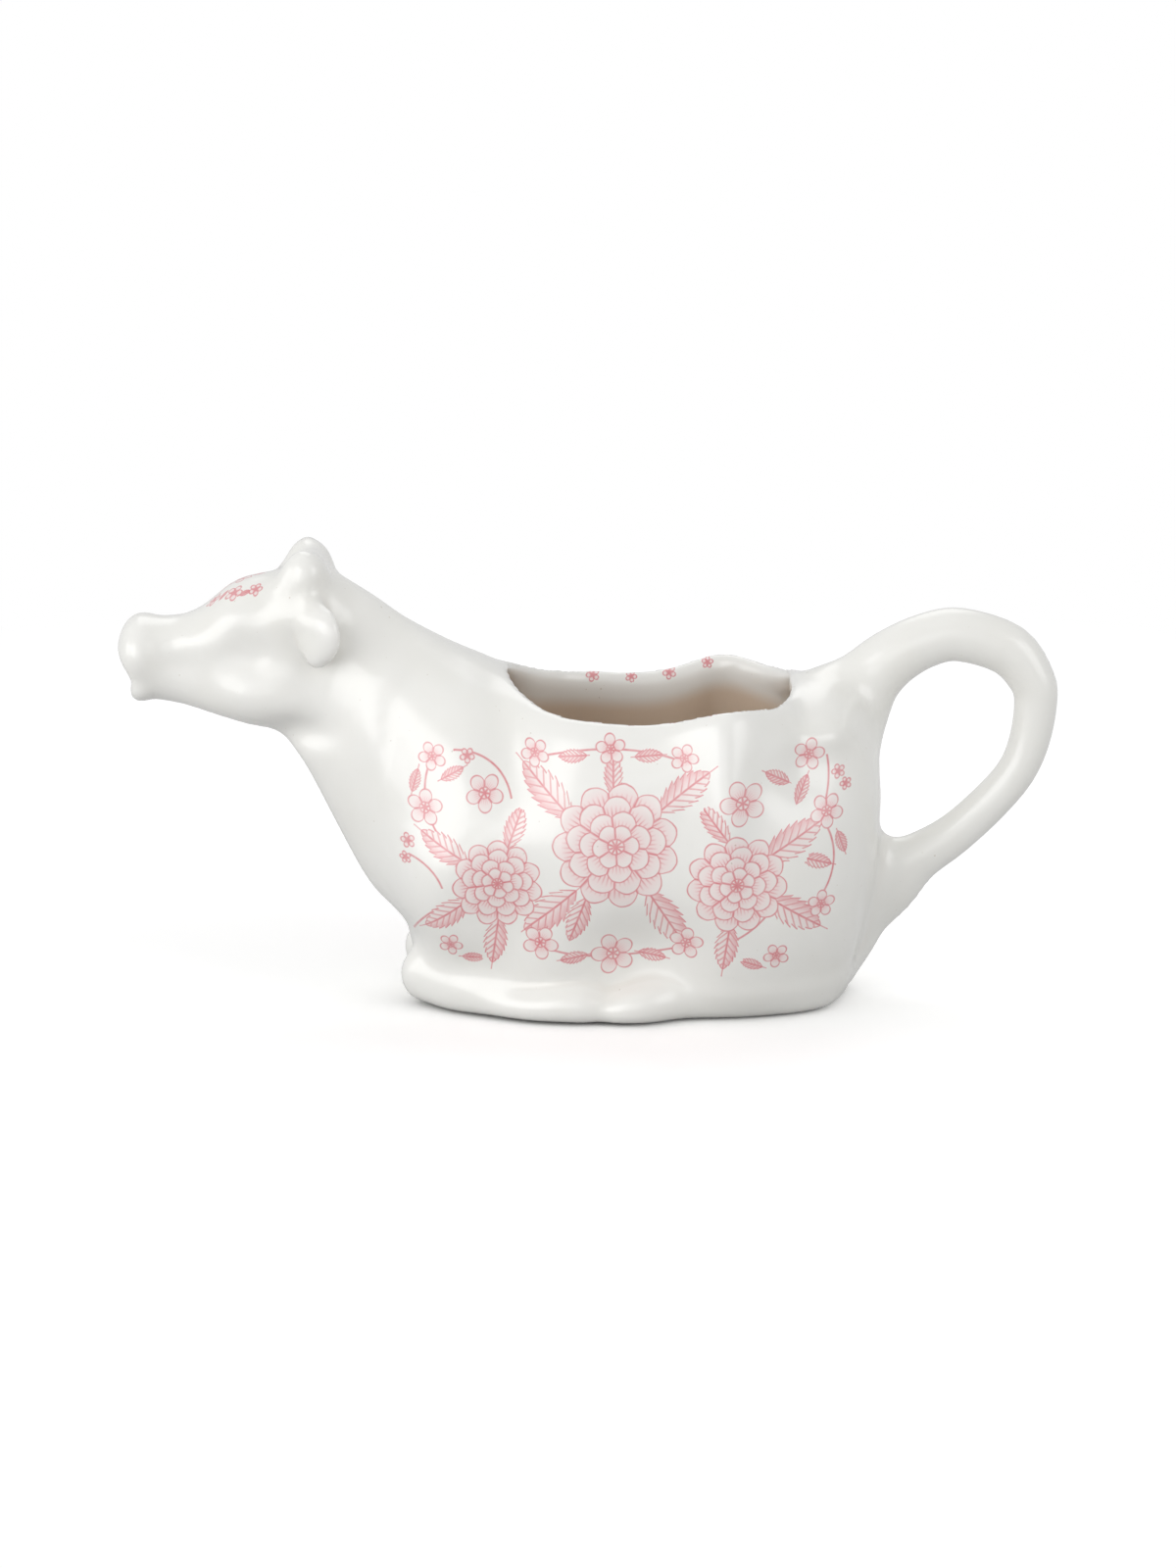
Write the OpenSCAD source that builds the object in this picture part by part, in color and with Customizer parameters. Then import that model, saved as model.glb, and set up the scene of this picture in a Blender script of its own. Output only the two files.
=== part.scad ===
// Cow creamer: a lying cow in glazed earthenware, filled through its open back and poured from its
// mouth. The cow faces -X, +Z is up, and the origin is on the table under the middle of the object.
// A cow's left side is at -Y. Each node is one of the clay parts that are joined before firing.

/* [Trunk] */
// Length of the trunk from the knees to the rump
trunk_length = 97.6; // [88:0.1:108]
// Width of the trunk at its widest
trunk_width = 66; // [58:0.5:74]
// Height of the rim at its lowest point
trunk_height = 60.5; // [56:0.5:66]

/* [Neck] */
// Length of the neck from the head joint to the knees
neck_length = 17.2; // [15:0.1:20]

/* [Head] */
// Length of the head from the nose to the head joint
head_length = 40.6; // [37:0.1:46]
// Width of the head across the jaw
head_width = 25; // [23:0.5:28]
// Depth of the head from the poll to the jaw
head_depth = 33.5; // [31:0.5:36]
// Height of the jaw above the table
jaw_height = 54.5; // [52:0.5:58]
// Height of a horn above the poll
horn_height = 5; // [4:0.1:7]
// Length of an ear from its root to its tip
ear_length = 13.5; // [11:0.5:16]
// Width of the pouring hole in the mouth
mouth_width = 9; // [7:0.5:11]
// Height of the pouring hole in the mouth
mouth_height = 5; // [4.4:0.1:6]

/* [Handle] */
// Reach of the handle behind the rump
handle_reach = 35.8; // [32:0.1:40]
// Thickness of the handle where the fingers hold it
handle_thickness = 7.8; // [7:0.1:9]

/* [Legs] */
// Height of a knee above the table
knee_height = 12; // [10:0.5:14]
// Height of a hoof above the table
hoof_height = 8; // [7:0.5:9]

/* [Clay] */
// Thickness of the cast wall
wall = 3.4; // [2.8:0.1:3.8]
// Thickness of the slab that closes the underside
base_thickness = 2.4; // [2:0.1:3]

/* [Hidden] */
glaze = "ivory";
total_length = head_length + neck_length + trunk_length + handle_reach;
nose_x = -total_length / 2;
poll_x = nose_x + head_length;
chest_x = poll_x + neck_length;
rump_x = chest_x + trunk_length;
poll_height = jaw_height + head_depth;
columns = 40;
flank = trunk_width / 2;
cheek = head_width / 2;

// Head sections: place along the head, then the top, the underside, the half width and the height
// of the widest line as shares of the head's depth and width, and how square the section is
head_shares = [
  [0, 0.478, 0.452, 0.12, 0.465, 2],
  [0.014, 0.55, 0.41, 0.4, 0.48, 2.1],
  [0.054, 0.625, 0.285, 0.62, 0.47, 2.3],
  [0.129, 0.7, 0.2, 0.72, 0.46, 2.4],
  [0.2, 0.704, 0.188, 0.69, 0.46, 2.3],
  [0.295, 0.7, 0.175, 0.656, 0.46, 2.2],
  [0.4, 0.735, 0.145, 0.7, 0.46, 2.2],
  [0.483, 0.805, 0.115, 0.78, 0.47, 2.2],
  [0.578, 0.905, 0.085, 0.896, 0.49, 2.2],
  [0.661, 0.945, 0.05, 0.96, 0.5, 2.2],
  [0.751, 0.965, 0.012, 0.992, 0.5, 2.2],
  [0.815, 0.98, -0.025, 1, 0.5, 2.2],
  [0.873, 0.992, -0.085, 1, 0.48, 2.2],
  [0.934, 1, -0.175, 0.984, 0.45, 2.2]
];
// Neck sections: place along the neck, top as a share of the drop from the poll to the rim, then
// the underside, half width and widest line as shares of the trunk's height and width, squareness
neck_shares = [
  [0, 1, 0.715, 0.375, 1.06, 2.2],
  [0.27, 0.96, 0.555, 0.41, 1.01, 2.2],
  [0.46, 0.87, 0.45, 0.45, 0.95, 2.2],
  [0.62, 0.815, 0.36, 0.5, 0.9, 2.2],
  [0.75, 0.765, 0.33, 0.54, 0.84, 2.2]
];
// Trunk sections: place along the trunk, then the crest of the back or rim, the underside, the half
// width and the widest line as shares of the trunk's height and width, and squareness
trunk_shares = [
  [0, 1.289, 0.24, 0.62, 0.7, 2.2],
  [0.02, 1.27, 0.16, 0.665, 0.67, 2.2],
  [0.042, 1.25, 0.066, 0.71, 0.64, 2.25],
  [0.057, 1.237, 0, 0.74, 0.62, 2.3],
  [0.1, 1.197, -0.1, 0.83, 0.57, 2.35],
  [0.178, 1.143, -0.13, 0.92, 0.53, 2.4],
  [0.207, 1.12, -0.13, 0.945, 0.52, 2.4],
  [0.236, 1.083, -0.13, 0.96, 0.51, 2.4],
  [0.288, 1.034, -0.13, 0.98, 0.5, 2.4],
  [0.337, 1.007, -0.13, 1, 0.5, 2.4],
  [0.385, 0.997, -0.13, 1, 0.5, 2.4],
  [0.46, 0.988, -0.13, 1, 0.5, 2.5],
  [0.547, 0.992, -0.13, 1.01, 0.5, 2.5],
  [0.6, 1.01, -0.13, 1.02, 0.5, 2.5],
  [0.635, 1.025, -0.13, 1.035, 0.5, 2.5],
  [0.68, 1.038, -0.13, 1.03, 0.5, 2.5],
  [0.725, 1.038, -0.13, 1, 0.5, 2.5],
  [0.774, 1.032, -0.13, 0.955, 0.5, 2.4],
  [0.819, 1.07, -0.13, 0.89, 0.5, 2.4],
  [0.85, 1.095, -0.11, 0.835, 0.5, 2.4],
  [0.898, 1.1, -0.05, 0.75, 0.51, 2.3],
  [0.923, 1.085, 0.025, 0.67, 0.52, 2.2],
  [0.949, 1.05, 0.15, 0.57, 0.54, 2.1],
  [0.969, 1.008, 0.25, 0.455, 0.58, 2],
  [0.985, 0.942, 0.347, 0.33, 0.62, 2],
  [0.995, 0.86, 0.463, 0.19, 0.65, 2],
  [1, 0.73, 0.595, 0.05, 0.66, 2]
];
// Opening in the back: place along the trunk and the square of its half width's share of the flank
opening_shares = [
  [0.207, 0], [0.236, 0.19], [0.288, 0.47], [0.337, 0.65], [0.385, 0.745], [0.46, 0.79], [0.547, 0.83],
  [0.6, 0.9], [0.635, 0.945], [0.68, 0.94], [0.725, 0.82], [0.774, 0.55], [0.789, 0.42], [0.805, 0.25],
  [0.819, 0]
];
opening_front = chest_x + opening_shares[0][0] * trunk_length;
opening_back = chest_x + opening_shares[len(opening_shares) - 1][0] * trunk_length;
// Swellings and hollows of the flanks: place along the trunk, height, length and depth as shares of
// the trunk's length and height, and the rise as a share of the half width
flank_relief_shares = [
  [0.075, 0.42, 0.055, 0.17, 0.07], [0.225, 0.76, 0.05, 0.14, -0.04], [0.225, 0.34, 0.05, 0.14, -0.05],
  [0.39, 0.45, 0.08, 0.2, 0.02], [0.66, 0.6, 0.035, 0.24, 0.05], [0.52, 0.23, 0.075, 0.1, -0.09],
  [0.79, 0.45, 0.08, 0.2, 0.03]
];
// Eye sockets, brows, cheeks and jaws in the same way, as shares of the head's length and depth
face_relief_shares = [
  [0.655, 0.58, 0.085, 0.11, -0.2], [0.54, 0.76, 0.05, 0.06, 0.07], [0.62, 0.27, 0.12, 0.14, 0.08],
  [0.43, 0.58, 0.06, 0.12, 0.07], [0.25, 0.5, 0.06, 0.1, -0.08]
];

function head_row(s) = [nose_x + s[0] * head_length, jaw_height + s[1] * head_depth,
  jaw_height + s[2] * head_depth, s[3] * cheek, jaw_height + s[4] * head_depth, s[5]];
function neck_row(s) = [poll_x + s[0] * neck_length,
  trunk_height + s[1] * (poll_height - trunk_height), s[2] * trunk_height, s[3] * flank,
  s[4] * trunk_height, s[5]];
function trunk_row(s) = [chest_x + s[0] * trunk_length, s[1] * trunk_height, s[2] * trunk_height,
  s[3] * flank, s[4] * trunk_height, s[5]];
rows = concat([for (s = head_shares) head_row(s)], [for (s = neck_shares) neck_row(s)],
  [for (s = trunk_shares) trunk_row(s)]);

// Smooth curves through the rows
function secant(i, c) = (rows[i + 1][c] - rows[i][c]) / (rows[i + 1][0] - rows[i][0]);
function slope(i, c) =
  i == 0 ? secant(0, c)
  : i == len(rows) - 1 ? secant(i - 1, c)
  : let (before = rows[i][0] - rows[i - 1][0], after = rows[i + 1][0] - rows[i][0])
    (secant(i - 1, c) * after + secant(i, c) * before) / (before + after);
slopes = [for (i = [0:len(rows) - 1]) [for (c = [0:5]) c == 0 ? 1 : slope(i, c)]];
function segment(x, i = 0) = i >= len(rows) - 2 || x < rows[i + 1][0] ? i : segment(x, i + 1);
function row_at(x) =
  let (i = segment(x), h = rows[i + 1][0] - rows[i][0], s = (x - rows[i][0]) / h, q = s * s, c = q * s)
  (2 * c - 3 * q + 1) * rows[i] + (3 * q - 2 * c) * rows[i + 1]
  + h * ((c - 2 * q + s) * slopes[i] + (c - q) * slopes[i + 1]);

// Half width of the opening at the rim's outer edge, and the angle where the section stops there
function opening_half(x) = flank * sqrt(lookup((x - chest_x) / trunk_length, opening_shares));
function rim_angle(x, r) = asin(pow(opening_half(x) / r[3], r[5] / 2));
function top_of(x, r) = r[4] + (r[1] - r[4]) / pow(1 - pow(opening_half(x) / r[3], r[5]), 1 / r[5]);
function relief(x, z, from, along, low, high, table) =
  [for (s = table) s[4] * exp(-pow((x - from - s[0] * along) / (s[2] * along), 2) / 2
    - pow((z - low - s[1] * high) / (s[3] * high), 2) / 2)];
function sum(v) = v * [for (e = v) 1];
function swell(x, z) =
  flank * sum(relief(x, z, chest_x, trunk_length, 0, trunk_height, flank_relief_shares))
  + cheek * sum(relief(x, z, nose_x, head_length, jaw_height, head_depth, face_relief_shares));
function bend(c, power) = sign(c) * pow(abs(c), power);

// A point of the outer skin: angle 0 is the top, 90 the cow's left side and 180 the underside
function skin(x, angle) =
  let (r = row_at(x), power = 2 / r[5], c = cos(angle), s = sin(angle),
    z = r[4] + (c > 0 ? top_of(x, r) - r[4] : r[4] - r[2]) * bend(c, power))
  [x, -r[3] * bend(s, power) - s * abs(s) * swell(x, z), z];
function across(x, angle) =
  let (step = wall / 50, turn = 1, n = cross(skin(x, angle + turn) - skin(x, angle - turn),
    skin(x + step, angle) - skin(x - step, angle)), u = n / norm(n))
  [0, u[1], u[2]] / (1 - u[0] * u[0]);
function on_base(p) = [p[0], p[1], max(p[2], base_thickness)];
function over_floor(p) = [p[0], p[1], max(p[2], base_thickness + wall)];
function inner_skin(x, angle) = over_floor(skin(x, angle) - wall * across(x, angle));
function start_angle(x) = x > opening_front && x < opening_back ? rim_angle(x, row_at(x)) : 0;
function angle_at(x, j) = let (a = start_angle(x)) a + (360 - 2 * a) * j / columns;

// Places of the sections, closest together where the shape turns quickly
head_steps = 15;
neck_steps = 13;
opening_steps = 18;
rump_steps = 8;
head_places = [for (k = [0:head_steps]) nose_x + head_length * (1 - cos(90 * k / head_steps))];
body_places = concat(
  [for (k = [0:neck_steps - 1]) poll_x + (opening_front - poll_x) * k / neck_steps],
  [for (k = [0:opening_steps]) opening_front
    + (opening_back - opening_front) * (1 - cos(180 * k / opening_steps)) / 2],
  [for (k = [1:rump_steps]) opening_back + (rump_x - opening_back) * sin(90 * k / rump_steps)]
);
first_open = neck_steps;
last_open = neck_steps + opening_steps;
head_cavity = [for (x = head_places) if (x > nose_x + 1.6 * wall) x];
body_cavity = [for (x = body_places) if (x < rump_x - 1.1 * wall) x];

function centre(ring) = sum_points(ring) / len(ring);
function sum_points(ring, i = 0) = i == len(ring) - 1 ? ring[i] : ring[i] + sum_points(ring, i + 1);
function quad(a, b, c, d) = [[a, b, c], [a, c, d]];
function flip(faces) = [for (f = faces) [f[2], f[1], f[0]]];
function flat_list(lists) = [for (l = lists) for (e = l) e];

// A grid of skin points with one row a place; a row of a closed section ends where it starts
function grid(places, inner) = [for (x = places) for (j = [0:columns])
  let (a = angle_at(x, j)) inner ? inner_skin(x, a) : on_base(skin(x, a))];
function at(places, i, j) = j == columns && start_angle(places[i]) == 0
  ? i * (columns + 1) : i * (columns + 1) + j;
function grid_faces(places, from = 0) = flat_list([for (i = [0:len(places) - 2])
  for (j = [0:columns - 1]) quad(from + at(places, i, j), from + at(places, i + 1, j),
    from + at(places, i + 1, j + 1), from + at(places, i, j + 1))]);
function cap(places, i, from, tip) = [for (j = [0:columns - 1])
  [from + at(places, i, j), tip, from + at(places, i, j + 1)]];
function ring_of(points, i) = [for (j = [0:columns - 1]) points[i * (columns + 1) + j]];

// The closed outer form of the trunk and neck, or of the head, that other parts are fitted to
module closed_form(places) {
  points = grid(places, false);
  last = len(places) - 1;
  lid = flat_list([for (i = [0:last - 1])
    if (start_angle(places[i]) + start_angle(places[i + 1]) > 0) quad(at(places, i, 0),
      at(places, i, columns), at(places, i + 1, columns), at(places, i + 1, 0))]);
  ends = [centre(ring_of(points, 0)), centre(ring_of(points, last))];
  polyhedron(concat(points, ends),
    concat(grid_faces(places),
      [for (f = lid) if (f[0] != f[1] && f[1] != f[2] && f[0] != f[2]) f],
      flip(cap(places, 0, 0, len(points))), cap(places, last, 0, len(points) + 1)));
}

// The rounded lip of the opening, on the side where j is 0 or columns
rim_steps = 3;
function rim_point(x, j, t) =
  let (a = angle_at(x, j), out = skin(x, a), in = inner_skin(x, a), across = out - in,
    swing = (j == 0 ? 1 : -1) * min(1, opening_half(x) / wall), up = cross(across, [swing, 0, 0]) / 2,
    turn = 180 * t / (rim_steps + 1))
  (out + in) / 2 + cos(turn) * across / 2 + sin(turn) * up;

module body_shell() {
  outer = grid(body_places, false);
  inner = grid(body_cavity, true);
  n_out = len(outer);
  n_in = len(inner);
  last = len(body_places) - 1;
  last_in = len(body_cavity) - 1;
  rim = [for (j = [0, columns]) for (i = [first_open:last_open]) for (t = [1:rim_steps])
    rim_point(body_places[i], j, t)];
  rim_size = (last_open - first_open + 1) * rim_steps;
  function rim_at(side, i, t) = t == 0 ? at(body_places, i, side * columns)
    : t > rim_steps ? n_out + at(body_cavity, i, side * columns)
    : n_out + n_in + (i == first_open || i == last_open ? 0 : side * rim_size)
      + (i - first_open) * rim_steps + t - 1;
  function lip(side) = flat_list([for (i = [first_open:last_open - 1]) for (t = [0:rim_steps])
    quad(rim_at(side, i, t), rim_at(side, i, t + 1), rim_at(side, i + 1, t + 1),
      rim_at(side, i + 1, t))]);
  seat = flat_list([for (j = [0:columns - 1])
    quad(at(body_places, 0, j), at(body_places, 0, j + 1),
      n_out + at(body_cavity, 0, j + 1), n_out + at(body_cavity, 0, j))]);
  tip = n_out + n_in + len(rim);
  ends = [centre(ring_of(outer, last)), centre(ring_of(inner, last_in))];
  color(glaze) polyhedron(concat(outer, inner, rim, ends),
    concat(grid_faces(body_places), flip(grid_faces(body_cavity, n_out)), lip(0), flip(lip(1)),
      seat, cap(body_places, last, 0, tip), flip(cap(body_cavity, last_in, n_out, tip + 1))));
}

// The slot that the cream leaves by, from inside the muzzle to past the lips
mouth_x = nose_x + 0.27 * head_length;
mouth_z = jaw_height + 0.33 * head_depth;
mouth_corner = (mouth_width - mouth_height) / 2;
module mouth_hole() translate([mouth_x, 0, mouth_z]) rotate([0, -90, 0])
  linear_extrude(mouth_x - nose_x + wall) {
    for (side = [-1, 1]) translate([0, side * mouth_corner]) circle(d = mouth_height, $fn = 32);
    square([mouth_height, 2 * mouth_corner], center = true);
  }
module head_shell() {
  outer = grid(head_places, false);
  inner = grid(head_cavity, true);
  n_out = len(outer);
  tip = n_out + len(inner);
  last = len(head_places) - 1;
  last_in = len(head_cavity) - 1;
  seat = flat_list([for (j = [0:columns - 1])
    quad(at(head_places, last, j), n_out + at(head_cavity, last_in, j),
      n_out + at(head_cavity, last_in, j + 1), at(head_places, last, j + 1))]);
  ends = [centre(ring_of(outer, 0)), centre(ring_of(inner, 0))];
  polyhedron(concat(outer, inner, ends),
    concat(grid_faces(head_places), flip(grid_faces(head_cavity, n_out)), seat,
      flip(cap(head_places, 0, 0, tip)), cap(head_cavity, 0, n_out, tip + 1)));
}
module head() color(glaze) difference() {
  head_shell();
  mouth_hole();
}

// The slab under the trunk, with an outline between an ellipse and a rectangle
slab_front = chest_x + 0.045 * trunk_length;
slab_back = chest_x + 0.905 * trunk_length;
slab_half = 0.73 * flank;
slab_corners = 48;
module base_slab() color(glaze) translate([(slab_front + slab_back) / 2, 0, 0])
  linear_extrude(base_thickness) polygon([for (k = [0:slab_corners - 1]) let (a = 360 * k / slab_corners)
    [bend(cos(a), 0.7) * (slab_back - slab_front) / 2, bend(sin(a), 0.7) * slab_half]]);

// A limb is a smooth tube through stops, each a place, a half width to the side and a half depth
limb_sides = 16;
function blend(stops, i, f) =
  let (a = stops[max(i - 1, 0)], b = stops[i], c = stops[i + 1], d = stops[min(i + 2, len(stops) - 1)])
  b + f * (c - a) / 2 + f * f * (a - 2.5 * b + 2 * c - d / 2) + f * f * f * (1.5 * (b - c) + (d - a) / 2);
function resample(stops, steps) = [for (k = [0:steps * (len(stops) - 1)])
  let (i = min(floor(k / steps), len(stops) - 2)) blend(stops, i, k / steps - i)];
function place(s) = [s[0], s[1], s[2]];
function limb_ring(path, k, side) =
  let (t = place(path[min(k + 1, len(path) - 1)]) - place(path[max(k - 1, 0)]),
    u = side - t * (side * t) / (t * t), v = cross(t, u))
  [for (j = [0:limb_sides - 1]) let (a = 360 * j / limb_sides, p = place(path[k])
    + path[k][3] * cos(a) * u / norm(u) + path[k][4] * sin(a) * v / norm(v))
    [p[0], p[1], max(p[2], 0)]];
module limb(stops, side, steps = 3) {
  path = resample(stops, steps);
  rings = [for (k = [0:len(path) - 1]) limb_ring(path, k, side)];
  n = limb_sides;
  last = (len(path) - 1) * n;
  walls = flat_list([for (k = [0:len(path) - 2]) for (j = [0:n - 1]) let (b = (j + 1) % n)
    quad(k * n + j, (k + 1) * n + j, (k + 1) * n + b, k * n + b)]);
  polyhedron(concat(flat_list(rings), [centre(rings[0]), centre(rings[len(path) - 1])]),
    concat(walls, [for (j = [0:n - 1]) [last + n, j, (j + 1) % n]],
      [for (j = [0:n - 1]) [last + n + 1, last + (j + 1) % n, last + j]]));
}

// Stops of a horn and an ear of the cow's right side, in shares of their length from their root
horn_root = [poll_x - 0.055 * head_length, 0.6 * cheek, poll_height];
horn_shares = [[0.1, -0.16, -1.4, 1.45, 1.25], [0.06, -0.02, -0.4, 1.1, 1], [0, 0.16, 0.3, 0.64, 0.6],
  [0, 0.26, 0.74, 0.34, 0.34], [0, 0.3, 0.88, 0.22, 0.22], [0, 0.3, 0.93, 0.06, 0.06]];
ear_root = [poll_x - 0.06 * head_length, 0.84 * cheek, poll_height - 0.16 * head_depth];
ear_shares = [[-0.03, -0.1, 0, 0.14, 0.1], [0.04, 0.14, 0, 0.25, 0.15], [0.12, 0.36, -0.16, 0.34, 0.17],
  [0.16, 0.46, -0.4, 0.37, 0.16], [0.15, 0.48, -0.65, 0.31, 0.14], [0.12, 0.44, -0.84, 0.17, 0.1],
  [0.1, 0.42, -0.9, 0.05, 0.05]];
function stops(root, shares, size) = [for (s = shares) concat(root, [0, 0]) + s * size];
module on_head() difference() {
  children();
  closed_form(head_places);
  closed_form(body_places);
}
module horn() color(glaze) on_head() limb(stops(horn_root, horn_shares, horn_height), [1, 0, 0]);
module ear() color(glaze) difference() {
  on_head() limb(stops(ear_root, ear_shares, ear_length), [1, 0, 0]);
  limb(stops(horn_root, horn_shares, horn_height), [1, 0, 0]);
}
module left() mirror([0, 1, 0]) children();
module horn_right() horn();
module horn_left() left() horn();
module ear_right() ear();
module ear_left() left() ear();

// Folded legs of the right side: place along the trunk, place and half width across it as shares of
// the flank, then centre height and half depth as shares of the knee's or the hoof's height
foreleg_shares = [[0.024, 0.385, 0.06, 0.38, 0.2], [0.035, 0.4, 0.15, 0.42, 0.47],
  [0.06, 0.425, 0.165, 0.44, 0.53], [0.12, 0.53, 0.15, 0.35, 0.43], [0.18, 0.635, 0.14, 0.26, 0.32],
  [0.27, 0.78, 0.14, 0.25, 0.31], [0.345, 0.835, 0.14, 0.3, 0.36], [0.385, 0.845, 0.13, 0.28, 0.34],
  [0.409, 0.84, 0.07, 0.2, 0.22]];
hindleg_shares = [[0.424, 0.865, 0.06, 0.24, 0.25], [0.447, 0.865, 0.12, 0.34, 0.42],
  [0.498, 0.85, 0.145, 0.47, 0.57], [0.55, 0.775, 0.145, 0.52, 0.63], [0.59, 0.71, 0.145, 0.45, 0.55],
  [0.652, 0.655, 0.15, 0.37, 0.45], [0.733, 0.6, 0.15, 0.34, 0.41], [0.806, 0.54, 0.15, 0.34, 0.41],
  [0.847, 0.45, 0.15, 0.35, 0.43], [0.875, 0.34, 0.13, 0.33, 0.41], [0.89, 0.24, 0.08, 0.27, 0.28]];
function leg_stops(shares, height) = [for (s = shares)
  [chest_x + s[0] * trunk_length, s[1] * flank, s[3] * height, s[2] * flank, s[4] * height]];
module on_trunk() difference() {
  children();
  closed_form(body_places);
  base_slab();
}
module foreleg() color(glaze) on_trunk() limb(leg_stops(foreleg_shares, knee_height), [0, 1, 0]);
module hindleg() color(glaze) on_trunk() limb(leg_stops(hindleg_shares, hoof_height), [0, 1, 0]);
module foreleg_right() foreleg();
module foreleg_left() left() foreleg();
module hindleg_right() hindleg();
module hindleg_left() left() hindleg();

// Stops of the handle: reach behind the rump, height as a share of the trunk's, then the half width
// and half depth as shares of the thickness
handle_shares = [[-0.391, 0.9, 0.55, 0.9], [-0.196, 0.985, 0.62, 1], [-0.061, 1.083, 0.65, 0.85],
  [0.075, 1.152, 0.64, 0.76], [0.251, 1.205, 0.63, 0.71], [0.436, 1.223, 0.62, 0.7],
  [0.71, 1.172, 0.61, 0.68], [0.85, 1.068, 0.59, 0.6], [0.872, 0.985, 0.58, 0.56],
  [0.84, 0.86, 0.56, 0.53], [0.76, 0.757, 0.55, 0.49], [0.609, 0.65, 0.54, 0.48],
  [0.408, 0.54, 0.54, 0.5], [0.207, 0.456, 0.58, 0.68], [0.028, 0.385, 0.62, 1],
  [-0.168, 0.3, 0.6, 1.15], [-0.28, 0.2, 0.5, 1.1], [-0.36, 0.12, 0.4, 0.9]];
handle_stops = [for (s = handle_shares)
  [rump_x + s[0] * handle_reach, 0, s[1] * trunk_height, s[2] * handle_thickness, s[3] * handle_thickness]];
module tail_handle() color(glaze) on_trunk() limb(handle_stops, [0, 1, 0], 4);

body_shell();
base_slab();
head();
ear_left();
ear_right();
horn_left();
horn_right();
foreleg_left();
foreleg_right();
hindleg_left();
hindleg_right();
tail_handle();
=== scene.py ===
import math

import bmesh
import bpy
import numpy as np
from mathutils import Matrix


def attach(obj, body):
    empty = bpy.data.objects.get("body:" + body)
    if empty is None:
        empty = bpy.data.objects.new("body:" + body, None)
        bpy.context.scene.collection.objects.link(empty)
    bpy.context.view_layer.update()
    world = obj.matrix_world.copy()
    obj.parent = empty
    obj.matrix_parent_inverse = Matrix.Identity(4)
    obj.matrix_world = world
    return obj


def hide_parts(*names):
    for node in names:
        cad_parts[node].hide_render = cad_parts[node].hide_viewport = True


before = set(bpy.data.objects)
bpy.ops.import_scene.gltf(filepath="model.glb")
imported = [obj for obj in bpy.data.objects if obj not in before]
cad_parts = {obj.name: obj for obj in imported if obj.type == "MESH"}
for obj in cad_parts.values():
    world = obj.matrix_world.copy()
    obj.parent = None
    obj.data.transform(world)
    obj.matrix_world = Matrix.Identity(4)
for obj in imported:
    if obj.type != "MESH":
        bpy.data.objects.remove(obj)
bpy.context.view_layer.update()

import openvdb
from mathutils import Vector

# Cow creamer. All the lengths of the clay are in millimetres until a mesh is made.
# The cow faces -X, its left side is at -Y, and its form is the same on both sides.

# Camera of the photograph: the picture's height and the focal length in its pixels, then the sensor's
# height in millimetres, the distance, the angle above the floor, the height looked at, and the
# nearest distance that is drawn, in metres and degrees
PHOTO_HEIGHT = 1600
FOCAL_PIXELS = 5000
SENSOR = 36
CAMERA_DISTANCE = 1.0
CAMERA_ELEVATION = 12
AIM_HEIGHT = 0.043
NEAR_CLIP = 0.05

# Colours of the clay, the glaze and the print
CLAY = (0.865, 0.86, 0.825, 1)
CLAY_DEEP = (0.84, 0.832, 0.79, 1)
# glaze pooled in creases, darker there as painted shade
CLAY_POOL_AND_SHADE = (0.72, 0.66, 0.58, 1)
CLAY_THIN = (0.88, 0.875, 0.85, 1)
# painted shade: the inside of the vessel, darker and warmer below the rim
CLAY_INSIDE_SHADE = (0.7, 0.57, 0.45, 1)
WASH = (0.87, 0.58, 0.59, 1)
INK = (0.68, 0.16, 0.19, 1)
SPECK = (0.45, 0.36, 0.27, 1)
BISQUE = (0.79, 0.76, 0.7, 1)
BISQUE_WORN = (0.7, 0.665, 0.6, 1)
# Surfaces of the glaze, the foot and the floor
GLAZE = {"Roughness": 0.35, "Coat Weight": 1, "Coat Roughness": 0.2}
FOOT = {"Roughness": 0.85}
FLOOR = {"Base Color": (0.6, 0.6, 0.6, 1), "Roughness": 0.6, "Specular IOR Level": 0.1}
# Strength and height, in metres, of the bumps in the glaze and the foot
GLAZE_BUMPS = (0.25, 0.0004)
FOOT_BUMPS = (0.5, 0.0002)
# How fine the noise is that varies the materials
NOISE = {"tone": 90, "speck": 1500, "wave": 110, "grain": 900, "wobble": 260, "ink": 700,
         "worn": 160, "foot speck": 2200, "foot grain": 2600}

# Floor: half its size, what is added to its colour where it is seen, and between which distances
# from its middle it turns plain white, in metres
FLOOR_SIZE = 12
FLOOR_LIFT = (0.83, 0.83, 0.83, 1)
FLOOR_FADE = (0.15, 0.45)
# How much of the white room the glaze reflects
GLOSS_WHITE = 0.3
# Even light from all round, then the lamps: name, place, size, power, and whether the floor is spared
ROOM_LIGHT = 0.6
LAMPS = [
    ("key", (-1.3, -1.35, 0.6), (1.3, 1.3), 12.5, True),
    ("left", (-1.95, -0.3, 0.4), (1.2, 1), 6.8, True),
    ("front", (-0.3, -1.95, 0.3), (1.2, 1.2), 4, True),
    ("right", (1.6, -1, 0.8), (1.2, 1.2), 7.6, False),
    ("back", (0, 1.15, 1.64), (1.2, 1.2), 5, False),
]

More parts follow.
